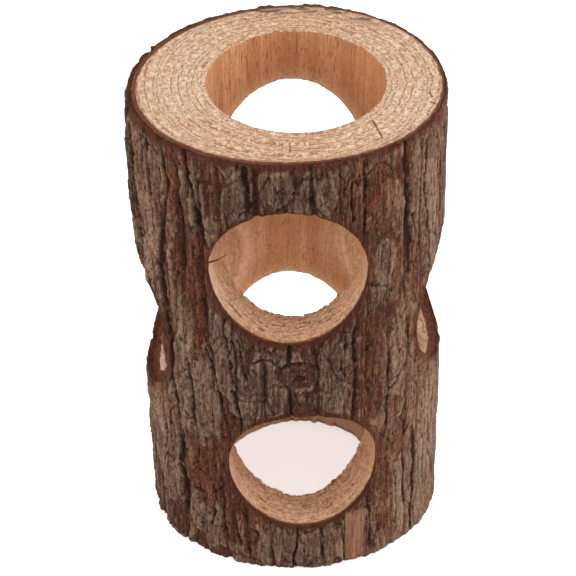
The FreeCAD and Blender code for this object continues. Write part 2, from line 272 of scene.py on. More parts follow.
def log_points(angle, height, cover):
    """Return points at angles and heights, at a mean cover of bark over the wood."""
    angle, height, cover = np.broadcast_arrays(angle, height, cover)
    centre_x, centre_y, scale = section(height)
    radius = (bare_radius(angle) + cover * np.where(cover > 0.0, bark_share(angle), 1.0)) * scale
    turn = np.radians(angle)
    return np.stack([centre_x + radius * np.cos(turn), centre_y + radius * np.sin(turn), height], axis=-1)


def top_height(points):
    """Return the height of the sawn top, which is a little out of level, over or under points."""
    return LOG_HEIGHT + TOP_SLOPE * points[..., 1]


def log_coordinates(points):
    """Return the angle, height and cover of points."""
    height = points[:, 2]
    centre_x, centre_y, scale = section(height)
    x, y = points[:, 0] - centre_x, points[:, 1] - centre_y
    angle = np.degrees(np.arctan2(y, x))
    cover = np.hypot(x, y) / scale - bare_radius(angle)
    return angle, height, cover / np.where(cover > 0.0, bark_share(angle), 1.0)


def hole_axes():
    """Return each drilled hole's radius, a point on its axis, and its own, a sideways and an upward way."""
    axes = []
    for radius, offset, turn, tilt, height, sideways in CROSS_HOLES:
        turn, slope = math.radians(turn), math.tan(math.radians(tilt))
        if sideways:
            centre = Vector((-offset * math.sin(turn), offset * math.cos(turn), height))
            way = Vector((math.cos(turn), math.sin(turn), slope))
        else:
            centre = Vector((offset * math.cos(turn), -offset * math.sin(turn), height))
            way = Vector((math.sin(turn), math.cos(turn), slope))
        way.normalize()
        across = Vector((0.0, 0.0, 1.0)).cross(way).normalized()
        axes.append((radius, np.array(centre), np.array(way), np.array(across), np.array(way.cross(across))))
    return axes


HOLES = hole_axes()
EAST, NORTH, UP = np.eye(3)
BORE = (BORE_RADIUS, np.zeros(3), UP, EAST, NORTH)


def hole_distance(points, hole):
    """Return how far points lie outside a drilled hole's wall."""
    radius, centre, way, _, _ = hole
    offset = points - centre
    along = offset @ way
    return np.linalg.norm(offset - along[..., None] * way, axis=-1) - radius


def jitter(*seeds):
    """Return a fixed number from -1 to 1 that looks random over its seeds."""
    mix = sum(seed * weight for seed, weight in zip(seeds, (12.9898, 78.233)))
    wave = math.sin(mix) * 43758.5453
    return 2.0 * (wave - math.floor(wave)) - 1.0


def furrow_ends():
    """Return every furrow's angle at the top and at the base, once round the log."""
    lines = list(FRONT_FURROWS)
    first, last = lines[0], lines[-1]
    for step in range(1, BACK_RIDGE_COUNT):
        share = step / BACK_RIDGE_COUNT
        lines.append(tuple(end + (start + 360.0 - end) * share for start, end in zip(first, last)))
    return lines


FURROWS = furrow_ends()


def furrow_angle(furrow, height):
    """Return a furrow's angle at heights: the CAD model's line, with a small wiggle of its own."""
    whole_turns, furrow = divmod(furrow, len(FURROWS))
    top_angle, base_angle = FURROWS[furrow]
    phase = math.pi * jitter(furrow, 3)
    levels = np.linspace(0.0, LOG_HEIGHT, LEVEL_COUNT + 1)
    sway = FURROW_WANDER * np.sin(FULL_TURN * levels / WANDER_LENGTH + phase)
    at_levels = base_angle + (top_angle - base_angle) * levels / LOG_HEIGHT + np.degrees(sway / WOOD_RADIUS)
    row = np.full_like(height, 11.0 * furrow)
    wiggle = 0.35 * noise(1, row, height / 7.0, 997) + 0.2 * noise(2, row, height / 2.3, 997)
    return 360.0 * whole_turns + np.interp(height, levels, at_levels) + np.degrees(wiggle / WOOD_RADIUS)


# ---- the bark's surface, as maps over angle and height ----

# Patches, each with its angle, height, half width in degrees, half height, and strength: first
# where flakes have come off and redder bark shows.
RED_PATCHES = (
    (-131.0, 109.0, 9.0, 15.0, 1.0),
    (-129.0, 32.0, 7.0, 11.0, 0.95),
    (-118.0, 34.0, 5.0, 10.0, 1.0),
    (-115.0, 23.5, 10.0, 4.0, 0.9),
    (-56.0, 76.0, 9.0, 20.0, 0.75),
    (-55.0, 136.0, 5.5, 8.0, 0.8),
    (-46.0, 95.0, 6.0, 6.0, 0.7),
    (-35.0, 92.0, 6.0, 5.0, 0.7),
    (-152.0, 55.0, 7.0, 12.0, 0.7),
    (-147.0, 42.0, 3.4, 12.0, 0.8),
    (-66.0, 133.0, 3.0, 8.0, 0.4),
    (-135.0, 128.0, 6.0, 14.0, 0.8),
    (-118.0, 134.0, 6.0, 12.0, 0.8),
    (-143.0, 114.0, 21.0, 30.0, 0.45),
    (-127.0, 92.0, 6.0, 9.0, 0.7),
    (-22.0, 14.0, 7.0, 7.0, 0.6),
    (-37.0, 50.0, 5.0, 6.0, 0.5),
    (-52.0, 12.0, 4.0, 10.0, 0.5),
    (-120.0, 14.0, 4.0, 6.0, 0.6),
    (22.0, 120.0, 8.0, 16.0, 0.8),
    (48.0, 40.0, 9.0, 14.0, 0.8),
    (118.0, 96.0, 7.0, 15.0, 0.9),
    (141.0, 20.0, 8.0, 12.0, 0.7),
    (84.0, 74.0, 8.0, 9.0, 0.7),
    (172.0, 116.0, 6.0, 14.0, 0.8),
)
# Where the bark is thick, grey and little flaked.
GREY_PATCHES = (
    (-136.5, 68.0, 5.0, 19.0, 1.0),
    (-151.0, 134.0, 3.4, 9.0, 1.0),
    (-143.4, 135.0, 2.2, 6.0, 0.9),
    (-132.5, 133.0, 2.4, 6.0, 0.9),
    (-129.0, 124.0, 2.6, 7.0, 1.0),
    (-134.5, 88.0, 3.6, 9.0, 1.0),
    (-113.5, 128.0, 3.4, 9.0, 0.9),
    (-139.0, 106.0, 2.0, 8.0, 0.9),
    (-139.0, 92.0, 2.4, 6.0, 0.8),
    (-121.0, 121.0, 2.6, 6.0, 0.8),
    (-121.5, 78.0, 3.4, 16.0, 0.9),
    (-127.0, 61.0, 8.0, 13.0, 1.0),
    (-114.0, 67.0, 5.0, 12.0, 0.8),
    (-133.7, 15.5, 3.6, 8.0, 0.9),
    (-109.5, 137.0, 4.5, 7.0, 0.8),
    (-94.0, 137.0, 6.0, 6.0, 0.8),
    (-76.0, 134.0, 4.0, 5.5, 0.7),
    (-101.0, 70.0, 10.0, 13.0, 0.55),
    (-74.0, 72.0, 6.0, 15.0, 0.55),
    (-25.5, 124.0, 3.8, 17.0, 1.0),
    (-23.5, 100.0, 3.5, 6.0, 0.8),
    (-36.0, 125.0, 3.6, 15.0, 0.7),
    (-27.0, 30.0, 7.0, 14.0, 0.8),
    (-52.0, 107.0, 5.0, 9.0, 0.7),
    (-95.0, 8.0, 9.0, 8.0, 0.7),
    (-79.0, 8.0, 7.0, 8.0, 0.6),
    (-42.0, 18.0, 4.0, 18.0, 0.7),
    (-148.0, 26.0, 6.0, 18.0, 0.8),
    (40.0, 105.0, 12.0, 22.0, 0.8),
    (100.0, 30.0, 14.0, 22.0, 0.8),
    (155.0, 75.0, 9.0, 22.0, 0.8),
)
# Where the bark is palest and where it is darkest, whatever its layer; the first dark patch is a painted
# shadow down the side of a plate that stands proud on the upper left.
PALE_PATCHES = (
    (-151.0, 108.0, 7.0, 17.0, 1.0),
    (-152.5, 50.0, 5.0, 15.0, 0.9),
    (-143.5, 134.0, 2.4, 7.0, 0.7),
    (-26.0, 124.0, 4.0, 17.0, 0.6),
    (-23.0, 42.0, 5.0, 14.0, 0.5),
    (-136.0, 84.0, 4.0, 9.0, 0.5),
)
DARK_PATCHES = (
    (-168.5, 122.0, 7.5, 25.0, 1.0),
    (-88.0, 72.0, 7.0, 8.0, 0.6),
    (-132.0, 112.0, 4.0, 10.0, 0.3),
)
# The bare strip under the lower hole: angle, height, half width in degrees and half height.
BARE_STRIP = (-65.0, 10.0, 4.6, 11.5)

# The deepest splits of the front: half width, depth as a share, then angle and height along each.
SPLITS = (
    (0.45, 0.9, (-166, 144), (-165, 130), (-163, 112), (-160, 98)),
    (0.5, 0.9, (-161, 143), (-160.5, 132), (-159.5, 122)),
    (0.35, 0.8, (-157.5, 144), (-157, 131), (-156, 118), (-154.5, 108)),
    (0.55, 1.0, (-162.5, 134), (-162, 121), (-161.5, 112), (-163, 103)),
    (0.4, 0.9, (-155.5, 104), (-153, 98), (-150.5, 93), (-149, 86)),
    (0.35, 0.8, (-158, 98), (-155, 92), (-152.5, 85), (-151, 79)),
    (0.5, 1.0, (-149.5, 143), (-148.6, 134), (-149.2, 124), (-148, 113)),
    (0.35, 0.8, (-153.5, 141), (-153, 128)),
    (0.6, 1.0, (-162, 120), (-160, 108), (-156.5, 97), (-152, 89)),
    (0.4, 0.8, (-163, 60), (-162, 45), (-162.5, 25), (-162, 8)),
    (0.4, 0.8, (-151, 50), (-150.5, 38), (-151.5, 24), (-151, 9)),
    (0.35, 0.8, (-146.5, 60), (-147, 46), (-146.4, 30)),
    (0.35, 0.8, (-16, 140), (-15, 125), (-14, 110)),
    (0.4, 0.9, (-12, 143), (-11, 128), (-10.5, 112)),
    (0.4, 0.8, (-33, 142), (-34, 131), (-34.5, 118), (-33.5, 106)),
    (0.35, 0.7, (-27, 60), (-26.5, 48), (-28, 34), (-27.5, 16)),
    (0.4, 0.8, (-17, 50), (-15.5, 38), (-16, 22), (-15, 6)),
    (0.85, 1.0, (-142, 142), (-140.5, 136), (-139.3, 131), (-140.5, 127), (-142.5, 121), (-143.8, 115)),
    (1.35, 1.0, (-143.8, 115), (-145, 108), (-146.6, 101), (-146, 96), (-145, 89), (-143.8, 83)),
    (1.15, 1.0, (-143.8, 83), (-142.8, 77), (-143.6, 68), (-143, 62), (-142, 56), (-141.4, 50)),
    (1.1, 1.0, (-141, 50), (-140.5, 44), (-141, 36), (-142.5, 30), (-140.5, 25), (-140, 18), (-139.5, 12)),
    (0.9, 0.9, (-155, 107), (-151, 104), (-147, 101)),
    (0.9, 1.0, (-131, 145), (-129.8, 138), (-128.3, 132), (-126.8, 127), (-125, 121), (-124, 116)),
    (1.2, 1.0, (-107.4, 143), (-106.2, 136), (-106, 130)),
    (0.9, 0.7, (-156.5, 42), (-156.8, 30), (-157, 20), (-156.5, 6)),
    (0.45, 0.9, (-133, 60), (-133.5, 55), (-134, 50)),
    (0.4, 0.8, (-126, 80), (-124.5, 76), (-122, 70), (-120.5, 64), (-119.5, 58), (-118.8, 54)),
    (0.45, 0.8, (-118, 92), (-116.8, 82), (-116, 75), (-115, 67), (-113.5, 60), (-112, 54)),
    (0.4, 0.7, (-113, 86), (-111.5, 78), (-110, 72)),
    (0.4, 0.7, (-125, 47), (-125.5, 40), (-125, 33)),
    (0.45, 0.7, (-126.5, 28), (-126, 20), (-127.5, 13)),
    (0.4, 0.7, (-130.5, 22), (-131, 14), (-130.5, 8)),
    (0.4, 0.7, (-117.5, 22), (-116.5, 14), (-115, 7)),
    (0.35, 0.8, (-140, 24), (-136, 24.6), (-130, 24)),
    (0.45, 0.8, (-66, 140), (-66.5, 132), (-65.5, 125)),
    (0.65, 0.9, (-61.2, 143), (-61, 130), (-60.5, 120)),
    (0.35, 0.5, (-82.5, 140), (-82.5, 130)),
    (0.35, 0.7, (-107, 78.5), (-103, 79.8), (-99.5, 80.3), (-97.5, 79), (-95.5, 76), (-94.5, 73)),
    (0.5, 0.8, (-94.5, 73), (-92.3, 68), (-91.8, 62), (-91.3, 58)),
    (0.65, 0.9, (-91.8, 87), (-91.4, 79)),
    (0.75, 0.95, (-64, 93), (-65, 85), (-65.5, 78), (-65, 70), (-65.5, 62), (-66, 56)),
    (0.35, 0.7, (-69, 88), (-69.6, 80), (-69, 72)),
    (0.45, 0.7, (-90.5, 16), (-90.5, 10), (-92, 6), (-92, 1)),
    (0.35, 0.6, (-80.5, 16), (-80, 4)),
    (0.6, 0.8, (-59.3, 24), (-58, 18), (-58, 10), (-57.3, 3)),
    (0.4, 0.8, (-69.9, 20), (-70, 2)),
    (0.9, 1.0, (-42.5, 144), (-42, 135), (-42, 128), (-41, 118), (-39.5, 110), (-39.5, 101)),
    (0.6, 0.9, (-30.5, 141), (-30.3, 132), (-31, 125), (-29, 118), (-28.5, 111)),
    (0.75, 0.95, (-22.5, 139), (-21, 130), (-20.5, 122), (-20, 113), (-19.5, 105), (-17.5, 99)),
    (0.6, 0.9, (-27, 109), (-26, 102), (-25.5, 96)),
    (0.45, 0.8, (-38, 120), (-36.5, 112), (-38, 103)),
    (0.5, 0.9, (-49, 62), (-46, 64), (-43, 67.5), (-40, 69)),
    (0.6, 0.9, (-50, 60), (-50.3, 53), (-50.5, 46)),
    (0.65, 0.9, (-40, 41), (-38.5, 43), (-36.5, 45)),
    (0.45, 0.8, (-39.5, 58), (-39, 50), (-40, 42)),
    (1.15, 1.0, (-34.5, 42), (-34.3, 35), (-34, 28), (-34.5, 20), (-35, 12), (-35, 2)),
    (0.45, 0.8, (-39.5, 84), (-39, 78), (-38, 71)),
    (0.4, 0.7, (-46, 88), (-45.5, 80), (-44, 74)),
    (0.5, 0.8, (-22.5, 36), (-21.5, 28), (-21, 21)),
    (1.0, 1.0, (-12.5, 55), (-11, 45), (-10, 35), (-8, 27)),
    (0.45, 0.7, (-53, 47), (-50, 44), (-47, 40)),
    (0.4, 0.7, (-46, 30), (-45.5, 22), (-44.5, 11)),
)


def split_field(angle, height, wander):
    """Return how deeply each point lies in a split, from 0 to 1."""
    inside = np.zeros(angle.shape)
    to_mm = GIRTH / 360.0
    for half_width, depth, *points in SPLITS:
        for (angle_a, height_a), (angle_b, height_b) in zip(points, points[1:]):
            low, high = min(height_a, height_b) - 4.0, max(height_a, height_b) + 4.0
            first, last = min(angle_a, angle_b) - 6.0, max(angle_a, angle_b) + 6.0
            rows = (height[:, 0] > low) & (height[:, 0] < high)
            columns = (angle[0] > first) & (angle[0] < last)
            block = np.ix_(rows, columns)
            x = (angle[block] - angle_a) * to_mm + wander[block]
            y = height[block] - height_a
            way_x, way_y = (angle_b - angle_a) * to_mm, height_b - height_a
            share = np.clip((x * way_x + y * way_y) / (way_x ** 2 + way_y ** 2), 0.0, 1.0)
            apart = np.hypot(x - share * way_x, y - share * way_y)
            inside[block] = np.maximum(inside[block], depth * np.exp(-(apart / (half_width * 0.85)) ** 2))
    return inside


def patch_mask(patches, angle, height, raggedness):
    """Return how far each point is inside any of the patches, from 0 to 1."""
    inside = np.zeros(angle.shape)
    for middle, level, half_width, half_height, strength in patches:
        turn = shortest_turn(angle - middle)
        reach = np.hypot(turn / half_width, (height - level) / half_height) + raggedness
        inside = np.maximum(inside, strength * (1.0 - ramp(reach, 0.86, 1.08)))
    return inside


def blur(field, radius_columns, radius_rows):
    """Return the field's running mean, which wraps round the log."""
    across, upward = 2 * radius_columns + 1, 2 * radius_rows + 1
    wide = np.concatenate([field[:, -radius_columns - 1:], field, field[:, :radius_columns]], axis=1)
    total = np.cumsum(wide, axis=1)
    field = (total[:, across:] - total[:, :-across]) / across
    tall = np.pad(field, ((radius_rows + 1, radius_rows), (0, 0)), mode="edge")
    total = np.cumsum(tall, axis=0)
    return (total[upward:] - total[:-upward]) / upward


def furrow_fields(angle, height):
    """Return the distance to the nearest furrow, and how deep that furrow is there."""
    distance = np.full(angle.shape, FAR)
    depth = np.zeros(angle.shape)
    level = height[:, 0]
    for furrow, (top_angle, _) in enumerate(FURROWS):
        line = furrow_angle(furrow, level)
        apart = np.abs(shortest_turn(angle - line[:, None])) * (GIRTH / 360.0)
        row = np.full_like(level, 5.0 * furrow)
        usual = 0.26 + 0.10 * float(ramp(abs(top_angle + 90.0), 48.0, 62.0))
        strength = usual + 0.5 * noise(3, row, level / 21.0 + 40.0 * jitter(furrow, 9), 991)
        strength += 0.25 * noise(4, row, level / 6.0, 991)
        strength -= 0.22 * ramp(24.0 - level, 0.0, 8.0) * (abs(top_angle + 85.0) < 26.0)
        nearer = apart < distance
        distance = np.where(nearer, apart, distance)
        depth = np.where(nearer, strength[:, None], depth)
    return distance, np.clip(depth, 0.05, 1.0)


def bark_maps():
    """Return the maps of the bark's cover over the wood and of what its colour depends on."""
    columns, rows = round(GIRTH / MAP_STEP), round(MAP_TOP / MAP_STEP) + 1
    angle = np.broadcast_to(-180.0 + 360.0 * np.arange(columns) / columns, (rows, columns))
    height = np.broadcast_to(np.linspace(0.0, MAP_TOP, rows)[:, None], (rows, columns))
    along = place_on_girth(angle)

    def grain(seed, width, length, octaves=1):
        return girth_noise(seed, along, height, width, length, octaves)

    distance, depth = furrow_fields(angle, height)
    furrow_width = (0.45 + 0.75 * depth) * (1.0 + 0.35 * grain(5, 3.0, 6.0))

    # Flakes: three sizes of overlapping scales, each with its own level and lift.
    warp_x, warp_y = 1.1 * grain(6, 4.0, 6.0, 3), 2.4 * grain(7, 3.4, 6.0, 3)
    edge_a, level_a, tone_a, rise_a = flake_cells(11, along + warp_x, height + warp_y, *FLAKE_SIZES[0])
    place = along + 1.3 * warp_x, height + 1.2 * warp_y
    edge_b, level_b, tone_b, rise_b = flake_cells(21, *place, *FLAKE_SIZES[1])
    place = along + 0.8 * warp_x, height + 0.8 * warp_y
    edge_c, level_c, tone_c, _ = flake_cells(31, *place, *FLAKE_SIZES[2])
    broad = grain(8, 17.0, 40.0, 2)
    ragged = 0.45 * grain(9, 5.0, 8.0, 3)
    red, grey, pale = (patch_mask(patches, angle, height, ragged)
                       for patches in (RED_PATCHES, GREY_PATCHES, PALE_PATCHES))
    layers = 0.46 * np.floor(4.0 * level_a) / 3.0 + 0.40 * np.floor(3.0 * level_b) / 2.0 + 0.22 * level_c
    layers = layers * (1.0 - 0.75 * np.maximum(np.maximum(grey, pale), 0.75 * red)) + 0.02
    lift = (0.16 * rise_a * (level_a > 0.3) + 0.10 * rise_b) * (1.0 - 0.6 * np.maximum(red, pale))
    cover = OUTER_BARK * (1.05 + 0.10 * broad) + 0.2 + lift - layers * (1.0 + 0.3 * broad)
    cover += 0.25 * grey
    # The first dark patch's plate stands proud; its side gets a painted shadow below.
    cover += 0.5 * patch_mask(DARK_PATCHES[:1], angle, height, 0.5 * ragged)
    cover -= red * (0.55 + 0.25 * grain(10, 6.0, 10.0, 2))

    # Cracks run along some flake edges, upright ones more than level ones.
    crack_a = (1.0 - ramp(edge_a, 0.0, 0.10)) * (0.35 + 0.65 * (tone_a > 0.45))
    crack_b = (1.0 - ramp(edge_b, 0.0, 0.13)) * (tone_b > 0.35)
    crack_c = (1.0 - ramp(edge_c, 0.0, 0.16)) * (tone_c > 0.6)
    cracks = np.clip(0.9 * crack_a + 0.6 * crack_b + 0.35 * crack_c, 0.0, 1.0)
    cover -= 0.55 * cracks
    fibres = girth_noise(12, along + 0.4 * warp_x, height, 0.9, 4.5, 2) * (1.0 - 0.5 * grey)
    cover += (0.17 + 0.12 * pale) * fibres + 0.09 * grain(13, 0.6, 1.0, 2)
    fibre = girth_noise(18, along + 0.5 * warp_x, height, 1.3, 7.0, 2)
    hair = (1.0 - ramp(np.abs(fibre), 0.02, 0.10)) * ramp(grain(19, 3.0, 7.0, 2), -0.2, 0.3)
    cover -= 0.26 * hair

    # The bare strip under the lower hole, smooth and long-grained.
    strip_angle, strip_height, half_width, half_height = BARE_STRIP
    strip = 1.0 - ramp(np.abs(angle - strip_angle) / half_width + 0.22 * ragged, 0.86, 1.02)
    strip = strip * (1.0 - ramp(np.abs(height - strip_height) / half_height + 0.3 * ragged, 0.75, 1.0))
    cover = cover * (1.0 - strip) + (0.75 + 0.07 * grain(14, 0.8, 14.0, 2)) * strip

    # Furrow valleys and splits, then the moat round the knot.
    valley = np.exp(-(distance / furrow_width) ** 2)
    shoulder = np.exp(-(distance / (furrow_width + 0.9)) ** 2)
    cover = cover * (1.0 - 0.97 * depth * valley * (1.0 - 0.5 * strip)) - 0.30 * depth * shoulder
    wander = 0.6 * grain(22, 2.0, 3.6, 2) + 0.35 * grain(23, 0.8, 1.1, 2)
    split = split_field(angle, height, wander) * (0.82 + 0.75 * grain(24, 1.6, 3.0, 3))
    split = np.clip(split, 0.0, 1.0)
    cover = cover * (1.0 - 0.96 * split)
    knot_x = shortest_turn(angle - KNOT_ANGLE) * (GIRTH / 360.0) / (KNOT_WIDTH / 2.0)
    knot_y = (height - KNOT_HEIGHT) / (KNOT_TALLNESS / 2.0)
    knot_reach = np.hypot(knot_x, knot_y) + 0.10 * grain(25, 2.4, 2.4, 2)
    moat = np.exp(-((knot_reach - 1.05) / 0.12) ** 2) * (0.12 + 0.4 * ramp(knot_y, 0.0, 0.5))
    cover = cover * (1.0 - 0.8 * moat) * ramp(knot_reach, 0.92, 1.06)

    # Worn edges at the sawn ends and at the drilled holes.
    spread = 1.1 + 0.9 * grain(15, 4.0, 9.0, 2)
    bark_points = log_points(angle, height, INNER_BARK + OUTER_BARK)
    top_gap = top_height(bark_points) - height
    rim_gap = np.full(angle.shape, FAR)
    for hole in HOLES:
        rim_gap = np.minimum(rim_gap, np.abs(hole_distance(bark_points, hole)))
    cover = np.minimum(cover, OUTER_BARK * (0.18 + 0.92 * ramp(top_gap, 0.2, TOP_WEAR * spread)) + 0.25)
    cover = np.minimum(cover, OUTER_BARK * (0.65 + 0.4 * ramp(height, 0.0, BASE_WEAR * spread)) + 0.3)
    cover = np.minimum(cover, OUTER_BARK * (0.4 + 0.75 * ramp(rim_gap, 0.2, HOLE_WEAR * spread)) + 0.3)
    cover = INNER_BARK + np.clip(cover, *BARK_RANGE)

    # Painted shade in the hollows, furrows, cracks, splits and the knot's moat; how weathered the bark is;
    # painted highlights; and its tone.
    hollow = 0.7 * (blur(cover, 4, 5) - cover) + 0.3 * (blur(cover, 12, 14) - cover)
    shade = ramp(hollow, 0.06, 0.85) + 0.6 * depth * depth * valley + 0.35 * cracks + 0.32 * hair
    shade = shade * (1.0 - strip) + 0.3 * moat + ramp(split, 0.15, 0.7)
    # Painted shadow down the side of the proud plate on the upper left.
    shade = np.clip(shade + 0.5 * patch_mask(DARK_PATCHES[:1], angle, height, ragged), 0.0, 1.0)
    # Painted highlight on the crests, where the bark stands over its surroundings.
    crest = ramp(cover - 0.5 * (blur(cover, 2, 3) + blur(cover, 6, 8)), 0.05, 0.32)
    fresh = ramp(layers + 0.25 * grain(16, 5.0, 9.0, 3), 0.38, 0.86)
    right = ramp(angle, -66.0, -48.0) * (angle < 60.0)
    weather = 0.72 - (0.55 - 0.12 * right) * fresh - 0.1 * (1.0 - fresh) * right
    weather = weather + (0.42 - 0.12 * right) * grey - (0.8 - 0.45 * right) * red + 0.25 * broad
    edge_wear = np.maximum(1.0 - ramp(top_gap, 0.6, 3.2 * spread), 1.0 - ramp(rim_gap, 0.3, 2.6 * spread))
    weather = np.clip(weather, 0.0, 1.0) * (1.0 - 0.9 * edge_wear)
    # Painted shade over the middle of the front, where less lamp light falls, weaker near the base.
    front_painted_shade = np.exp(-((angle + 92.0) / 25.0) ** 2) * (0.42 + 0.58 * ramp(height, 18.0, 40.0))
    right_flank = ramp(angle, -62.0, -37.0) * (angle < 18.0)
    left_side = ramp(-angle, 102.0, 122.0) * (0.7 + 0.6 * ramp(-angle, 135.0, 150.0))
    tone = 0.5 + 0.34 * (tone_a - 0.5) + 0.30 * (tone_b - 0.5) + 0.28 * (tone_c - 0.5) + 0.12 * broad
    tone = tone - 0.8 * front_painted_shade + 0.14 * right_flank - 0.11 * left_side
    tone = tone + 0.14 * right * ramp(-height, -70.0, -40.0)
    tone += 0.5 * pale
    # Darker in the dark patches; in the first one this is painted shadow.
    tone -= 0.6 * patch_mask(DARK_PATCHES, angle, height, ragged)
    return {"cover": cover, "shade": shade, "weather": weather, "tone": np.clip(tone, 0.0, 1.0),
            "strip": strip, "edge": edge_wear, "crest": crest}


MAPS = bark_maps()


def read_map(name, angle, height):
    """Return a map's values at angles and heights, smooth between its cells."""
    field = MAPS[name]
    rows, columns = field.shape
    across = ((angle + 180.0) % 360.0) / 360.0 * columns
    up = np.clip(height / MAP_TOP, 0.0, 1.0) * (rows - 1)
    column, row = np.floor(across).astype(np.int64), np.minimum(np.floor(up).astype(np.int64), rows - 2)
    right, rise = across - column, up - row
    column, beside = column % columns, (column + 1) % columns
    low = field[row, column] * (1.0 - right) + field[row, beside] * right
    high = field[row + 1, column] * (1.0 - right) + field[row + 1, beside] * right
    return low * (1.0 - rise) + high * rise


# ---- meshes ----

def bore_axis():
    """Return where the bore's axis stands in the frame, in millimetres, from the CAD wood's bottom edge."""
    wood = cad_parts["wood_body"]
    points = np.array([tuple(vertex.co) for vertex in wood.data.vertices]) / MM
    reach = np.hypot(points[:, 0], points[:, 1])
    rim = points[(points[:, 2] < EDGE_HEIGHT) & (reach < BORE_RADIUS + EDGE_REACH)]
    matrix = np.column_stack([2.0 * rim[:, :2], np.ones(len(rim))])
    answer = np.linalg.lstsq(matrix, (rim[:, :2] ** 2).sum(axis=1), rcond=None)[0]
    return np.array([answer[0], answer[1], 0.0])


BORE_AXIS = bore_axis()


def within_box(points):
    """Return points about the bore's axis, drawn back inside the CAD model's overall box in plan."""
    low, high = (np.array(corner) / MM - BORE_AXIS for corner in cad_box)
    low[2], high[2] = -np.inf, np.inf
    return np.clip(points, low + BOX_MARGIN, high - BOX_MARGIN)


def mesh_object(name, points, faces):
    """Return a new object from points in millimetres about the bore's axis, and blocks of faces."""
    mesh = bpy.data.meshes.new(name)
    faces = [np.asarray(block, dtype=np.int32) for block in faces]
    corners = np.concatenate([block.ravel() for block in faces])
    sizes = np.concatenate([np.full(len(block), block.shape[1], dtype=np.int32) for block in faces])
    starts = np.concatenate([[0], np.cumsum(sizes)[:-1]]).astype(np.int32)
    mesh.vertices.add(len(points))
    mesh.vertices.foreach_set("co", ((points + BORE_AXIS) * MM).astype(np.float32).ravel())
    mesh.loops.add(len(corners))
    mesh.loops.foreach_set("vertex_index", corners)
    mesh.polygons.add(len(sizes))
    mesh.polygons.foreach_set("loop_start", starts)
    mesh.update(calc_edges=True)
    mesh.validate()
    mesh.shade_smooth()
    obj = bpy.data.objects.new(name, mesh)
    bpy.context.scene.collection.objects.link(obj)
    return obj


def grid_faces(rows, columns, wrap=False):
    """Return the quads of a grid of points laid row by row, which may close on itself sideways."""
    row = np.arange(rows - 1)[:, None] * columns
    column = np.arange(columns if wrap else columns - 1)[None, :]
    beside = (column + 1) % columns
    corners = (row + column, row + beside, row + columns + beside, row + columns + column)
    return np.stack(corners, axis=-1).reshape(-1, 4)


def closed_tube(name, rings, ends):
    """Return an object whose side runs through rings of points, and whose ends are fans to two points."""
    rows, around = rings.shape[:2]
    ring = np.arange(around)
    beside = (ring + 1) % around
    count, last = rows * around, (rows - 1) * around
    low_cap = np.column_stack([np.full(around, count), beside, ring])
    high_cap = np.column_stack([np.full(around, count + 1), last + ring, last + beside])
    points = np.concatenate([rings.reshape(-1, 3), ends])
    return mesh_object(name, points, [grid_faces(rows, around, True), low_cap, high_cap])


def cut(obj, cutters):
    """Take the cutters' solids away from an object's mesh."""
    for cutter in cutters:
        change = obj.modifiers.new("cut", "BOOLEAN")
        change.operation, change.solver, change.object = "DIFFERENCE", "MANIFOLD", cutter
    evaluated = obj.evaluated_get(bpy.context.evaluated_depsgraph_get())
    mesh = bpy.data.meshes.new_from_object(evaluated)
    old = obj.data
    obj.modifiers.clear()
    obj.data = mesh
    mesh.name = old.name
    bpy.data.meshes.remove(old)
    mesh.shade_smooth()


def points_of(obj):
    """Return an object's points in millimetres about the bore's axis."""
    flat = np.empty(3 * len(obj.data.vertices), dtype=np.float32)
    obj.data.vertices.foreach_get("co", flat)
    return flat.reshape(-1, 3).astype(np.float64) / MM - BORE_AXIS


def write_values(obj, **fields):
    """Store named numbers on an object's points, for its material."""
    for name, values in fields.items():
        attribute = obj.data.attributes.new(name, "FLOAT", "POINT")
        attribute.data.foreach_set("value", np.asarray(values, dtype=np.float32))


def drum(name, hole, radius_at, low, high, step_around, step_along):
    """Return a closed drum about a hole's axis, whose radius is worked out at every point of its side."""
    radius, centre, way, across, upward = hole
    around = round(FULL_TURN * radius / step_around)
    rows = round((high - low) / step_along) + 1
    turn = np.broadcast_to(FULL_TURN * np.arange(around) / around, (rows, around))
    along = np.broadcast_to(np.linspace(low, high, rows)[:, None], (rows, around))
    spoke = np.cos(turn)[..., None] * across + np.sin(turn)[..., None] * upward
    core = centre + along[..., None] * way
    reach = radius_at(core + radius * spoke, turn, along)
    return closed_tube(name, core + reach[..., None] * spoke, [centre + low * way, centre + high * way])


# ---- wood ----

def ring_wave(points):
    """Return the yearly rings' hardness at points, from -1 in soft wood to 1 in a hard ring."""
    x, y = points[..., 0] - PITH[0], points[..., 1] - PITH[1]
    turn = np.arctan2(y, x)
    wander = 0.35 * np.sin(2.0 * turn + 0.6) + 0.25 * np.sin(3.0 * turn + 2.0) + 0.12 * np.sin(7.0 * turn)
    return np.cos(FULL_TURN * (np.hypot(x, y) + wander) / RING_PITCH)


def bore_wall(points, turn, along):
    """Return the bore's radius: upright grain, fibres under the drilled holes, and its broken lower edge."""
    wrap = round(FULL_TURN * BORE_RADIUS / 0.9)
    reach = BORE_RADIUS + 0.035 * wall_noise(41, turn, along, wrap, 14.0)
    reach = reach + 0.02 * wall_noise(42, turn, along, wrap, 3.0, 2.0)
    for number, hole in enumerate(HOLES):
        gap = hole_distance(points, hole)
        below = ramp(hole[1][2] - points[..., 2], 2.0, 10.0)
        fringe = np.exp(-(np.maximum(gap, 0.0) / 0.8) ** 2) * (gap > -2.0) * below
        fibres = np.clip(wall_noise(43 + number, turn, along, wrap, 1.2, 1.5), 0.0, 1.0)
        reach = reach - 0.55 * fringe * fibres
    torn = 1.0 + 0.25 * wall_noise(46, turn, along, wrap, 3.0, 0.7)
    backward = (0.5 + 0.5 * np.sin(turn)) * (1.0 - 0.5 * ramp(-np.cos(turn), 0.1, 0.7))
    return reach + BREAKOUT * torn * ramp(BREAKOUT_HEIGHT - along, 0.0, 8.0) * backward


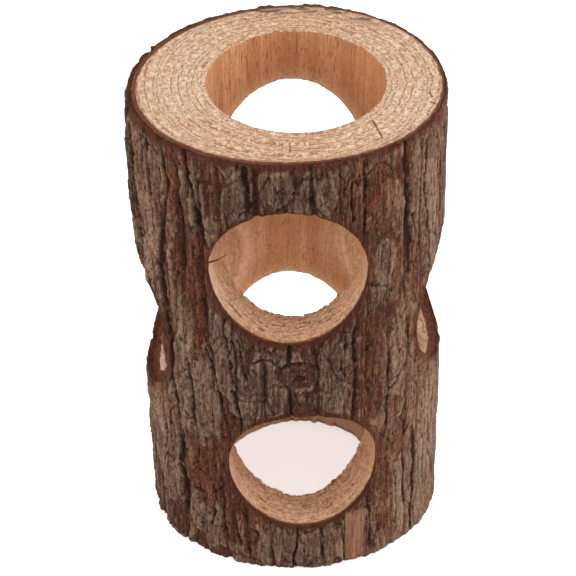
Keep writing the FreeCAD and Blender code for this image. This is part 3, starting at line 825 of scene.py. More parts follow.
def hole_oval(number, turn, along):
    """Return how far a drilled hole's wall stands off the round it was drilled to."""
    if number >= len(RIM_DROP):
        return 0.0
    off = RIM_GROWTH[number] - RIM_OVAL[number] * np.cos(2.0 * turn) - RIM_DROP[number] * np.sin(turn)
    off = off + RIM_SHOULDER[number] * np.clip(np.sin(turn), 0.0, 1.0) * np.cos(turn) ** 2
    return off * (1.0 - ramp(along, -RIM_FADE, RIM_FADE))


def hole_wall(number):
    """Return the function that gives a drilled hole's radius: torn above and below, smoother at its sides."""
    radius = HOLES[number][0]
    wrap = round(FULL_TURN * radius / 0.8)

    def radius_at(points, turn, along):
        end_grain = np.abs(np.sin(turn)) ** 1.5
        rough = wall_noise(51 + number, turn, along, wrap, 0.8)
        rough = rough + 0.7 * wall_noise(54 + number, turn, along, wrap, 0.4, 2.0)
        reach = radius + 0.02 * rough + 0.10 * end_grain * rough - 0.08 * end_grain * ring_wave(points)
        reach = reach + hole_oval(number, turn, along)
        reach = reach + 0.03 * wall_noise(57 + number, turn, along, wrap, 9.0, 0.3)
        inner_edge = np.exp(-((np.hypot(points[..., 0], points[..., 1]) - BORE_RADIUS) / 1.3) ** 2)
        torn = wall_noise(60 + number, turn, along, wrap, 1.5, 0.55)
        teeth = wall_noise(63 + number, turn, along, wrap, 1.1, 1.3)
        left_standing = 1.2 * (number == 1) * ramp(-np.cos(turn), 0.2, 0.7)
        floor_bite = FLOOR_BITE[number] - left_standing + 0.5 * torn + 0.4 * teeth + 0.15 * rough
        bite = 0.35 + 0.15 * torn + 0.1 * teeth + ramp(-np.sin(turn), 0.0, 0.5) * floor_bite
        return reach + inner_edge * np.abs(np.sin(turn)) ** 0.8 * bite

    return radius_at


def rim_edge(number):
    """Return the function that gives a drilled hole's radius in the bark, whose cut edge is rougher."""
    radius = HOLES[number][0]
    wrap = round(FULL_TURN * radius / 1.6)

    def radius_at(points, turn, along):
        rough = 0.5 * wall_noise(71 + number, turn, along, wrap, 1.6)
        rough = rough + wall_noise(74 + number, turn, along, wrap, 0.6, 3.0)
        standing = LEFT_STAND * np.exp(-((turn - math.pi) / 0.6) ** 4) * (along < 0.0) * (number == 2)
        return radius - 0.04 + 0.15 * rough - standing * (1.0 + 0.2 * rough) + hole_oval(number, turn, along)

    return radius_at


def hole_cutters(name, wall, step):
    """Return a drum for each drilled hole, with its wall's function and its fineness."""
    return [drum(name % number, hole, wall(number), -DRILL_REACH, DRILL_REACH, step, step)
            for number, hole in enumerate(HOLES)]


def sawn_end(height, slope, sign):
    """Return rings of points from the wood's edge to inside the bore, with the yearly rings in low relief."""
    shares = np.linspace(0.0, 1.0, CAP_RINGS)[:, None]
    angle = 360.0 * np.arange(CAP_COLUMNS)[None, :] / CAP_COLUMNS
    cover = -shares * (WOOD_RADIUS - BORE_RADIUS + CAP_OVERRUN)
    points = log_points(angle, np.full_like(angle, height), cover)
    x, y = points[..., 0], points[..., 1]
    rough = noise(81, x / 0.7 + 100.0, y / 0.7 + 100.0, 400)
    rough = rough + 0.8 * noise(82, x / 0.35 + 200.0, y / 0.35 + 200.0, 400)
    relief = 0.04 * ring_wave(points) + 0.06 * rough - 0.16
    relief = relief - 0.22 * np.exp(-(shares * 19.0 / 0.5) ** 2)
    points[..., 2] += slope * y + sign * relief
    return points


def check_cutter(name, start, end, width, depth):
    """Return a thin wedge that opens a drying check in the sawn top between two points."""
    start, end = np.array(start), np.array(end)
    way = (end - start) / np.linalg.norm(end - start)
    side = np.array([-way[1], way[0]]) * width / 2.0
    points = []
    for height, share in ((-depth, 0.25), (1.0, 1.4)):
        for place, reach in ((start, 0.3), ((start + end) / 2.0 + 0.6 * side, 1.0), (end, 0.3)):
            for sign in (-1.0, 1.0):
                flat = place + sign * side * share * reach
                points.append((flat[0], flat[1], LOG_HEIGHT + TOP_SLOPE * flat[1] + height))
    faces = [(0, 1, 3, 2), (2, 3, 5, 4), (6, 8, 9, 7), (8, 10, 11, 9), (0, 2, 8, 6), (2, 4, 10, 8),
             (1, 7, 9, 3), (3, 9, 11, 5), (0, 6, 7, 1), (4, 5, 11, 10)]
    return mesh_object(name, np.array(points), [faces])


def make_wood():
    """Build the log's wood, bored and drilled."""
    rings = np.concatenate([sawn_end(0.0, 0.0, -1.0)[::-1], sawn_end(LOG_HEIGHT, TOP_SLOPE, 1.0)])
    wood = closed_tube("wood", rings, [(*CAP_MIDDLE, 0.0), (*CAP_MIDDLE, LOG_HEIGHT)])
    bore = drum("cut_bore", BORE, bore_wall, -BORE_OVERRUN, LOG_HEIGHT + BORE_OVERRUN, WALL_STEP, BORE_STEP)
    cutters = [bore] + hole_cutters("cut_hole_%d", hole_wall, WALL_STEP)
    cutters += [check_cutter("cut_check_%d" % number, *check) for number, check in enumerate(CHECKS)]
    cut(wood, cutters)
    for cutter in cutters:
        bpy.data.objects.remove(cutter)
    dress_wood(wood)
    return wood


def dress_wood(wood):
    """Store what the wood's colour depends on: how each point was cut, and how deep in the log it lies."""
    points = points_of(wood)
    reach = np.hypot(points[:, 0], points[:, 1])
    on_bore = 1.0 - ramp(np.abs(reach - BORE_RADIUS), 0.15, 0.7)
    drilled = np.zeros(len(points))
    fringe = np.zeros(len(points))
    for hole in HOLES:
        gap = hole_distance(points, hole)
        drilled = np.maximum(drilled, 1.0 - ramp(np.abs(gap), 0.9, 1.5))
        fringe = np.maximum(fringe, on_bore * np.exp(-(np.maximum(gap, 0.0) / 3.0) ** 2))
    # Near white at the bore's broken lower edge: torn fibres, and painted light on this band, which lies in
    # the log's shadow.
    broken = (1.0 - ramp(reach - BORE_RADIUS, 2.0, 2.6)) * ramp(12.0 - points[:, 2], 0.0, 6.0)
    sawn = 1.0 - ramp(np.minimum(top_height(points) - points[:, 2], points[:, 2]), 0.3, 0.6)

    # Torn bark stains the rims of the side hole, most of all on the left.
    cover = log_coordinates(points)[2]
    sideways = 1.0 - ramp(np.abs(hole_distance(points, HOLES[2])), 0.35, 0.8)
    front_floor = ramp(-points[:, 1], 6.0, 9.0) * ramp(points[:, 1], -17.0, -11.0)
    torn_left = np.maximum(ramp(points[:, 1], 2.5, 5.5), front_floor) * ramp(cover, -9.0, -6.0)
    torn_left = np.maximum(torn_left, ramp(cover, -1.6, -0.5))
    torn = np.where(points[:, 0] < 0.0, torn_left, ramp(cover, -2.6, -1.4))
    stain = np.maximum(sideways * torn, 0.25 * drilled * ramp(cover, -1.2, -0.2))
    drilled = drilled * (1.0 - 0.55 * sideways)

    # Painted shade along the drying checks in the sawn top.
    check = np.zeros(len(points))
    for start, end, width, _ in CHECKS:
        start, way = np.array(start), np.array(end) - np.array(start)
        share = np.clip((points[:, :2] - start) @ way / (way @ way), 0.0, 1.0)
        apart = np.linalg.norm(points[:, :2] - start - share[:, None] * way, axis=1)
        check = np.maximum(check, (1.0 - ramp(apart, 0.3 * width, 0.9 * width)) * sawn)
    write_values(wood, drilled=drilled, fringe=fringe, broken=broken, cover=cover, stain=stain, check=check)


# ---- bark ----

def add_loose_fibre(sheath):
    """Add the one torn fibre that hangs from the upper hole's rim across its wall, as a thin tapered tube."""
    share = np.linspace(0.0, 1.0, FIBRE_STEPS)[:, None]
    start, end = np.array(LOOSE_FIBRE[0]), np.array(LOOSE_FIBRE[1])
    middle = start + (end - start) * share - LOOSE_FIBRE_SAG * UP * 4.0 * share * (1.0 - share)
    turn = FULL_TURN * np.arange(FIBRE_SIDES) / FIBRE_SIDES
    over = np.cross((end - start) / np.linalg.norm(end - start), NORTH)
    beside = np.cross((end - start) / np.linalg.norm(end - start), over)
    width = (LOOSE_FIBRE_RADIUS * (1.0 - 0.6 * share))[:, :, None]
    around = width * (np.cos(turn)[:, None] * over + np.sin(turn)[:, None] * beside)
    ring = np.arange(FIBRE_SIDES)[None, :]
    caps = [ring[:, ::-1], ring + (FIBRE_STEPS - 1) * FIBRE_SIDES]
    faces = [grid_faces(FIBRE_STEPS, FIBRE_SIDES, True)] + caps
    fibre = mesh_object("fibre", (middle[:, None, :] + around).reshape(-1, 3), faces)
    both = bmesh.new()
    both.from_mesh(sheath.data)
    both.from_mesh(fibre.data)
    both.to_mesh(sheath.data)
    both.free()
    bpy.data.objects.remove(fibre)


def make_inner_bark(cutters):
    """Build the thin sheath of inner bark, open at the sawn ends and the drilled holes."""
    columns = round(GIRTH / SHEATH_STEP)
    rows = round(LOG_HEIGHT / SHEATH_STEP)
    angle = np.broadcast_to(360.0 * np.arange(columns) / columns, (rows, columns))
    along = angle / 360.0 * GIRTH
    share = np.broadcast_to(np.linspace(0.0, 1.0, rows)[:, None], (rows, columns))
    low = SHEATH_INSET[0] + 0.1 * girth_noise(91, along, 0.0 * along, 2.0, 9.0, 2)
    top = top_height(log_points(angle, LOG_HEIGHT, INNER_BARK))
    high = top - SHEATH_INSET[1] - 0.30 * girth_noise(92, along, 0.0 * along, 1.6, 9.0, 3)
    height = low + (high - low) * share
    crumbs = np.clip(girth_noise(96, along, height, 1.3, 1.3, 3), -1.0, 1.0) * (top - height < 2.0)
    cover = INNER_BARK + 0.06 * girth_noise(93, along, height, 1.0, 5.0, 2) - 0.02
    cover = cover - 0.16 * crumbs
    cover = cover - 0.35 * np.exp(-((top - height) / 0.8) ** 2)
    outside = log_points(angle, height, cover)
    inside = log_points(angle[:2], height[[0, -1]], -SKIN)
    points = np.concatenate([outside.reshape(-1, 3), inside.reshape(-1, 3)])
    ring = np.arange(columns)
    beside = (ring + 1) % columns
    first, last = rows * columns, (rows - 1) * columns
    under, over = first + ring, first + columns + ring
    under_beside, over_beside = first + beside, first + columns + beside
    faces = [grid_faces(rows, columns, True),
             np.column_stack([under, over, over_beside, under_beside]),
             np.column_stack([ring, under, under_beside, beside]),
             np.column_stack([last + ring, last + beside, over_beside, over])]
    sheath = mesh_object("sheath", points, faces)
    cut(sheath, cutters)
    add_loose_fibre(sheath)
    angle, height, cover = log_coordinates(points_of(sheath))
    depth = np.clip(1.0 - cover / INNER_BARK, 0.0, 1.0)
    # The inner bark takes the outer bark's painted shade, less on its cut faces.
    write_values(sheath, depth=depth, shade=read_map("shade", angle, height) * (1.0 - ramp(depth, 0.1, 0.4)))
    return sheath


def make_ridge(ridge, cutters):
    """Build one ridge of outer bark between two furrows, as a closed shell seated in the inner bark."""
    rows = round(LOG_HEIGHT / BARK_STEP)
    share_up = np.linspace(0.0, 1.0, rows)
    gap = math.degrees(RIDGE_GAP / WOOD_RADIUS)
    left = furrow_angle(ridge, LOG_HEIGHT * share_up) + gap
    right = furrow_angle(ridge + 1, LOG_HEIGHT * share_up) - gap
    columns = max(8, round(float(np.mean(right - left)) * GIRTH / 360.0 / BARK_STEP)) + 1
    angle = left[:, None] + (right - left)[:, None] * np.linspace(0.0, 1.0, columns)[None, :]
    along = place_on_girth(angle)
    low = RIDGE_INSET[0] + 0.35 * girth_noise(94, along, 0.0 * along, 2.2, 9.0, 3)
    high = top_height(log_points(angle, LOG_HEIGHT, INNER_BARK)) - RIDGE_INSET[1]
    high = high - 0.6 * girth_noise(95, along, 0.0 * along, 2.2, 9.0, 4)
    height = low + (high - low) * share_up[:, None]
    outside = within_box(log_points(angle, height, read_map("cover", angle, height)))
    seat = log_points(angle[:, [0, -1]], height[:, [0, -1]], INNER_BARK - SEAT_DEPTH)
    points = np.concatenate([outside.reshape(-1, 3), seat.reshape(-1, 3)])
    first = rows * columns
    row = np.arange(rows - 1)
    left_low, left_high = first + 2 * row, first + 2 * (row + 1)
    faces = [grid_faces(rows, columns),
             np.column_stack([row * columns, (row + 1) * columns, left_high, left_low]),
             np.column_stack([left_low, left_high, left_high + 1, left_low + 1]),
             np.column_stack([left_low + 1, left_high + 1, (row + 2) * columns - 1, (row + 1) * columns - 1])]
    half = columns // 2
    caps = []
    for start, corner, turned in ((0, first, False), ((rows - 1) * columns, first + 2 * (rows - 1), True)):
        fan = [(start + step, start + step + 1, corner + (step >= half)) for step in range(columns - 1)]
        fan.append((start + half, corner + 1, corner))
        caps += [triple if turned else triple[::-1] for triple in fan]
    bark = mesh_object("bark_%02d" % (ridge + 1), points, faces + [caps])
    cut(bark, [cutter for cutter, hole in zip(cutters, HOLES) if (hole_distance(points, hole) < 1.5).any()])
    dress_bark(bark)
    return bark


def dress_bark(bark):
    """Store what the bark's colour depends on: the maps, and how deep in the bark each point lies."""
    angle, height, cover = log_coordinates(points_of(bark))
    values = {name: read_map(name, angle, height) for name in MAPS}
    inside = ramp(values.pop("cover") - cover, 0.12, 0.5)
    # Cut faces show fresh bark and take less of the painted shade.
    values["shade"] = values["shade"] * (1.0 - 0.6 * inside)
    write_values(bark, inside=inside, **values)


def make_knot():
    """Build the knot: an oval boss whose bark swirls round a small sunken eye, dark with painted shade."""
    turn = FULL_TURN * np.arange(KNOT_COLUMNS)[None, :] / KNOT_COLUMNS
    reach = np.linspace(1.0, 0.02, KNOT_RINGS)[:, None]
    x = reach * np.cos(turn) * KNOT_WIDTH / 2.0
    z = reach * np.sin(turn) * KNOT_TALLNESS / 2.0

    def grain(seed, cell, shift):
        return noise(seed, x / cell + shift, z / cell + shift, 199)

    swirl = reach * 2.6 + turn / FULL_TURN + 0.12 * np.sin(2.0 * turn)
    swirl = swirl + 0.30 * (grain(101, 2.2, 40.0) + 0.5 * grain(104, 1.0, 40.0))
    ridges = 0.16 * np.cos(FULL_TURN * swirl)
    rough = 0.16 * grain(102, 0.6, 60.0) + 0.22 * grain(103, 1.7, 60.0)
    eye = np.exp(-(reach / 0.2) ** 2)
    dome = KNOT_THICKNESS * (0.92 - 0.45 * reach ** 3) - 0.5 * eye
    edge = ramp(reach, 0.86, 1.0)
    rise = (dome + ridges + rough) * (1.0 - edge) + 0.5 * edge
    angle = KNOT_ANGLE + np.degrees(x / (WOOD_RADIUS + 2.0))
    height = KNOT_HEIGHT + z
    outside = log_points(angle, height, INNER_BARK + np.minimum(rise, KNOT_THICKNESS))
    seat = log_points(angle[:1], height[:1], INNER_BARK - SEAT_DEPTH)
    depths = np.array([INNER_BARK - SEAT_DEPTH, INNER_BARK + KNOT_THICKNESS - 1.1])
    knot = closed_tube("knot", np.concatenate([seat, outside]), log_points(KNOT_ANGLE, KNOT_HEIGHT, depths))
    # Painted shade on the knot: in the low parts of its swirl and roughness, at its edge and in its sunken
    # eye; its hidden seat is fully shaded.
    shade = np.clip(0.28 - 1.2 * ridges + 0.1 * edge - rough + 0.4 * eye, 0.0, 1.0)
    shade = np.concatenate([np.ones(KNOT_COLUMNS), shade.ravel(), [0.6, 0.6]])
    none = np.zeros(len(shade))
    write_values(knot, shade=shade, weather=none + 0.45, tone=none + 0.1,
                 strip=none, inside=none, edge=none, crest=none)
    return knot


# ---- materials ----

def colour(red, green, blue):
    """Return a colour given as it looks on screen, from 0 to 255."""
    parts = [part / 255.0 for part in (red, green, blue)]
    parts = [part / 12.92 if part <= 0.04045 else ((part + 0.055) / 1.055) ** 2.4 for part in parts]
    return (*parts, 1.0)


class Nodes:
    """A small helper that adds and joins the nodes of a material or of the world."""

    def __init__(self, owner):
        owner.use_nodes = True
        self.owner = owner
        self.tree = owner.node_tree
        self.shader = self.tree.nodes.get("Principled BSDF") or self.tree.nodes["Background"]

    def add(self, kind, inputs=None, **settings):
        """Add a node of a kind, with its inputs and its settings."""
        node = self.tree.nodes.new(kind)
        for name, value in settings.items():
            setattr(node, name, value)
        for name, value in (inputs or {}).items():
            self.feed(node.inputs[name], value)
        return node

    def feed(self, socket, value):
        """Join another node's output to a socket, or set the socket to a plain value."""
        if isinstance(value, bpy.types.NodeSocket):
            self.tree.links.new(value, socket)
        else:
            socket.default_value = value

    def value(self, name):
        """Return the number that is stored on the object's points under a name."""
        return self.add("ShaderNodeAttribute", attribute_name=name).outputs["Fac"]

    def maths(self, operation, *values, clamp=False):
        node = self.add("ShaderNodeMath", operation=operation, use_clamp=clamp)
        for socket, value in zip(node.inputs, values):
            self.feed(socket, value)
        return node.outputs[0]

    def times(self, first, *others):
        for other in others:
            first = self.maths("MULTIPLY", first, other)
        return first

    def plus(self, first, *others):
        for other in others:
            first = self.maths("ADD", first, other)
        return first

    def vector(self, operation, first, second):
        return self.add("ShaderNodeVectorMath", {0: first, 1: second}, operation=operation).outputs[0]

    def joined(self, x, y=0.0):
        return self.add("ShaderNodeCombineXYZ", {"X": x, "Y": y}).outputs[0]

    def noise(self, vector, detail, roughness=0.55, distortion=0.0):
        inputs = {"Vector": vector, "Scale": 1.0, "Detail": detail, "Roughness": roughness,
                  "Distortion": distortion}
        return self.add("ShaderNodeTexNoise", inputs).outputs["Fac"]

    def grain(self, scale, detail, roughness=0.55, distortion=0.0, shift=(0.0, 0.0, 0.0)):
        """Return noise over the object, with its scale in cells per millimetre along x, y and z."""
        here = self.add("ShaderNodeTexCoord").outputs["Object"]
        scale = tuple(number / MM for number in scale)
        place = self.add("ShaderNodeMapping", {"Vector": here, "Scale": scale, "Location": shift})
        return self.noise(place.outputs["Vector"], detail, roughness, distortion)

    def spread(self, value, low, high, most=1.0, least=0.0):
        """Return a value mapped smoothly to least at low and to most at high, and held beyond them."""
        inputs = {"Value": value, "From Min": low, "From Max": high, "To Min": least, "To Max": most}
        return self.add("ShaderNodeMapRange", inputs, interpolation_type="SMOOTHSTEP").outputs["Result"]

    def mix(self, share, first, second):
        """Return a mix of two colours, each a socket or a colour as it looks on screen."""
        node = self.add("ShaderNodeMix", data_type="RGBA", clamp_factor=True)
        sockets = [socket for socket in node.inputs if socket.enabled]
        for socket, value in zip(sockets, (share, first, second)):
            self.feed(socket, colour(*value) if isinstance(value, tuple) else value)
        return [socket for socket in node.outputs if socket.enabled][0]

    def tint(self, face, *layers):
        """Return a colour with layers over it, each given by its share and its colour."""
        for share, shade in layers:
            face = self.mix(share, face, shade)
        return face

    def seen(self):
        """Return 1 for rays from the camera, by a mirror or through glass, and 0 for all others."""
        rays = self.add("ShaderNodeLightPath").outputs
        straight = self.maths("MAXIMUM", rays["Is Camera Ray"], rays["Is Glossy Ray"])
        return self.maths("MAXIMUM", straight, rays["Is Transmission Ray"])

    def finish(self, face, roughness, specular, relief, depth):
        """Give the surface its colour, roughness, shine and fine relief, and return the material."""
        self.feed(self.shader.inputs["Base Color"], face)
        self.feed(self.shader.inputs["Roughness"], roughness)
        self.shader.inputs["Specular IOR Level"].default_value = specular
        bump = self.add("ShaderNodeBump", {"Height": relief, "Distance": depth})
        self.feed(self.shader.inputs["Normal"], bump.outputs["Normal"])
        return self.owner


def wood_material():
    """Pale softwood: rings about the pith, long grain up the log, and end grain where it is cut across."""
    nodes = Nodes(bpy.data.materials.new("log wood"))
    here = nodes.add("ShaderNodeTexCoord").outputs["Object"]
    pith = ((BORE_AXIS[0] + PITH[0]) * MM, (BORE_AXIS[1] + PITH[1]) * MM, 0.0)
    flat = nodes.vector("MULTIPLY", nodes.vector("SUBTRACT", here, pith), (1.0 / MM, 1.0 / MM, 0.0))
    parts = nodes.add("ShaderNodeSeparateXYZ", {0: flat}).outputs
    x, y = parts["X"], parts["Y"]
    reach = nodes.add("ShaderNodeVectorMath", {0: flat}, operation="LENGTH").outputs["Value"]
    turn = nodes.maths("ARCTAN2", x, nodes.times(y, -1.0))
    ring = nodes.plus(reach, nodes.times(nodes.grain((0.045, 0.045, 0.012), 3.0), 5.0))
    ring = nodes.plus(ring, nodes.times(nodes.grain((0.35, 0.35, 0.03), 2.0), 0.9))
    ring = nodes.plus(ring, nodes.times(nodes.noise(nodes.joined(nodes.times(reach, 0.3)), 1.0), 5.0))
    facing = nodes.maths("DIVIDE", nodes.maths("ABSOLUTE", y), reach)
    year = nodes.maths("FRACT", nodes.maths("DIVIDE", ring, RING_PITCH))
    late = nodes.times(nodes.spread(year, 0.35, 0.92), nodes.spread(year, 1.0, 0.95),
                       nodes.spread(nodes.grain((0.16, 0.16, 0.0), 1.0), 0.3, 0.7, 1.0, 0.4))
    line = nodes.spread(nodes.maths("ABSOLUTE", nodes.maths("SUBTRACT", year, 0.86)), 0.24, 0.03)

    # Short dashes of torn fibre, laid along the rings.
    round_it = nodes.joined(nodes.times(ring, 1.9), nodes.times(turn, 14.0))
    dashes = nodes.noise(round_it, 2.0, 0.6)
    fine_dashes = nodes.noise(nodes.vector("MULTIPLY", round_it, (1.5, 2.4, 1.0)), 3.0, 0.7)
    grooves = nodes.noise(nodes.vector("MULTIPLY", round_it, (0.9, 0.35, 1.0)), 3.0, 0.7)

    fibres = nodes.grain((1.5, 1.5, 0.05), 5.0, 0.65)
    streaks = nodes.grain((0.22, 0.22, 0.008), 3.0)
    pores = nodes.grain((1.9, 1.9, 0.34), 2.0, 0.6)
    mottle = nodes.grain((0.5, 0.5, 0.3), 5.0, 0.65)
    fuzz = nodes.grain((1.35, 1.35, 1.35), 3.0, 0.7)
    specks = nodes.grain((1.1, 1.1, 1.1), 4.0, 0.7, shift=(3.0, 5.0, 7.0))
    cloud = nodes.grain((0.06, 0.06, 0.03), 3.0)
    marks = nodes.grain((0.16, 0.5, 0.3), 4.0, 0.6, shift=(4.0, 2.0, 0.0))
    flecks = nodes.grain((0.95, 0.95, 0.8), 4.0, 0.75, shift=(7.0, 7.0, 7.0))
    nap = nodes.grain((0.7, 0.7, 0.16), 4.0, 0.65, shift=(2.0, 2.0, 2.0))
    torn = nodes.grain((0.7, 0.7, 0.7), 5.0, 0.7, shift=(1.0, 4.0, 1.0))

    # Long grain, as on the bore's wall: redder on the right, paler where its fibres are torn, and near white
    # at the broken lower edge, partly as painted light in the log's shadow.
    drilled, cover = nodes.value("drilled"), nodes.value("cover")
    long_grain = nodes.tint(
        nodes.mix(nodes.spread(streaks, 0.38, 0.62), (205, 145, 99), (223, 169, 124)),
        (nodes.times(late, 0.22), (184, 122, 78)),
        (nodes.spread(mottle, 0.35, 0.7, 0.45), (192, 128, 84)),
        (nodes.spread(fibres, 0.48, 0.68, 0.55), (170, 106, 62)),
        (nodes.spread(pores, 0.56, 0.66, 0.7), (150, 92, 56)),
        (nodes.spread(fuzz, 0.54, 0.68, 0.4), (236, 190, 146)),
        (nodes.times(nodes.spread(x, 4.0, 20.0), nodes.spread(drilled, 1.0, 0.0, 0.35)), (172, 110, 64)),
        (nodes.times(nodes.value("fringe"), nodes.spread(fuzz, 0.35, 0.6, 0.8, 0.25)), (240, 198, 160)),
        # Painted light: the broken lower edge near white, though it lies in shadow.
        (nodes.times(nodes.value("broken"), nodes.spread(fibres, 0.3, 0.6, 0.8, 1.0)), (255, 228, 192)))

    # End grain, as on the sawn top and the floors of the drilled holes, with grey weather marks
    # along the top's back edge.
    strong = nodes.spread(nodes.noise(nodes.joined(nodes.times(reach, 0.45), turn), 2.0), 0.3, 0.55, 1.0, 0.4)
    back = nodes.times(nodes.spread(y, 24.0, 33.0), nodes.spread(cover, -6.0, -2.2),
                       nodes.spread(x, -15.0, -9.0), nodes.spread(x, 30.0, 22.0))
    end_grain = nodes.tint(
        nodes.mix(nodes.spread(cloud, 0.35, 0.65), (211, 173, 141), (219, 184, 154)),
        (nodes.spread(facing, 0.5, 1.0, 0.95), (208, 162, 126)),
        (nodes.times(late, 0.4), (190, 142, 106)),
        (nodes.times(line, strong, nodes.spread(dashes, 0.36, 0.56, 1.0, 0.5)), (162, 106, 70)),
        (nodes.spread(dashes, 0.53, 0.62, 0.6), (176, 122, 86)),
        (nodes.spread(fine_dashes, 0.54, 0.63, 0.8), (150, 96, 62)),
        (nodes.spread(dashes, 0.47, 0.38, 0.55), (250, 226, 200)),
        (nodes.spread(fuzz, 0.53, 0.62, 0.6), (252, 232, 208)),
        (nodes.times(nodes.spread(specks, 0.64, 0.72), 0.6), (142, 90, 58)),
        (nodes.times(back, nodes.spread(marks, 0.45, 0.54, 0.95)), (108, 84, 65)))

    # The walls of the drilled holes: fuzzier, palest on the left, and grooved where the grain ends; their
    # end-grain floors are warmer, and lighter as painted light where the holes shade them.
    normal = nodes.add("ShaderNodeNewGeometry").outputs["Normal"]
    upright = nodes.add("ShaderNodeSeparateXYZ", {0: normal}).outputs["Z"]
    across = nodes.spread(nodes.maths("ABSOLUTE", upright), 0.2, 0.75)
    outer = nodes.times(drilled, nodes.spread(x, -10.0, -19.0), nodes.spread(cover, -10.0, -3.0, 0.6))
    napped = nodes.times(drilled, nodes.spread(nap, 0.3, 0.7, 0.75, 0.2))
    pale = nodes.tint(long_grain, (napped, (230, 186, 148)), (outer, (244, 216, 190)))
    # The drilled floors' warm tint is partly painted light, made light to stand against the shade inside the
    # holes.
    warm = nodes.tint(end_grain, (nodes.times(drilled, 0.45), (232, 176, 130)), (outer, (244, 216, 190)))

    # Torn bark and ragged dark edges at the rims, and painted shade in the drying checks.
    stain = nodes.value("stain")
    stained = nodes.plus(stain, nodes.times(nodes.maths("SUBTRACT", torn, 0.5), 1.2))
    bark = nodes.mix(nodes.spread(fuzz, 0.35, 0.65), (78, 44, 31), (136, 84, 58))
    ragged = nodes.plus(cover, nodes.times(nodes.maths("SUBTRACT", fuzz, 0.5), 3.2))
    face = nodes.tint(
        nodes.mix(across, pale, warm),
        (nodes.times(drilled, across, nodes.spread(grooves, 0.52, 0.60, 0.85)), (136, 84, 52)),
        (nodes.times(drilled, nodes.spread(flecks, 0.43, 0.33, 0.65)), (140, 88, 54)),
        (nodes.times(drilled, nodes.spread(flecks, 0.50, 0.60, 0.7)), (248, 214, 178)),
        (nodes.times(nodes.spread(stained, 0.3, 0.6), nodes.spread(stain, 0.0, 0.3)), bark),
        (nodes.times(nodes.spread(ragged, -0.7, 0.1), 0.7), (120, 70, 46)),
        # Painted shade in the drying checks.
        (nodes.times(nodes.value("check"), 0.85), (110, 62, 38)))
    rough = nodes.plus(nodes.times(fuzz, 0.8), nodes.times(dashes, -1.1))
    rough = nodes.times(rough, nodes.plus(across, 0.12))
    relief = nodes.plus(rough, nodes.plus(nodes.times(fibres, 0.4), nodes.times(pores, -0.4)))
    return nodes.finish(face, nodes.spread(fibres, 0.3, 0.8, 0.86, 0.68), 0.25, relief, 0.0004)


def inner_bark_material():
    """Red-brown fibrous inner bark, with painted shade in the furrows."""
    nodes = Nodes(bpy.data.materials.new("log inner bark"))
    fibres = nodes.grain((1.8, 1.8, 0.3), 5.0, 0.68)
    patches = nodes.grain((0.35, 0.35, 0.25), 4.0, 0.6)
    crumbs = nodes.grain((2.4, 2.4, 2.4), 4.0, 0.72, shift=(3.0, 1.0, 5.0))
    face = nodes.tint(
        nodes.mix(nodes.spread(fibres, 0.3, 0.7), (86, 46, 32), (134, 82, 57)),
        (nodes.spread(patches, 0.48, 0.68, 0.7), (70, 37, 27)),
        (nodes.spread(crumbs, 0.55, 0.7, 0.5), (164, 108, 76)),
        (nodes.spread(crumbs, 0.46, 0.34, 0.5), (52, 28, 20)),
        (nodes.times(nodes.value("depth"), 0.12), (150, 92, 62)),
        # Painted shade in the furrows.
        (nodes.times(nodes.value("shade"), 0.8), (30, 18, 13)))
    relief = nodes.plus(nodes.times(fibres, 0.6), nodes.times(crumbs, 0.5))
    return nodes.finish(face, nodes.spread(fibres, 0.3, 0.8, 0.92, 0.75), 0.2, relief, 0.0006)


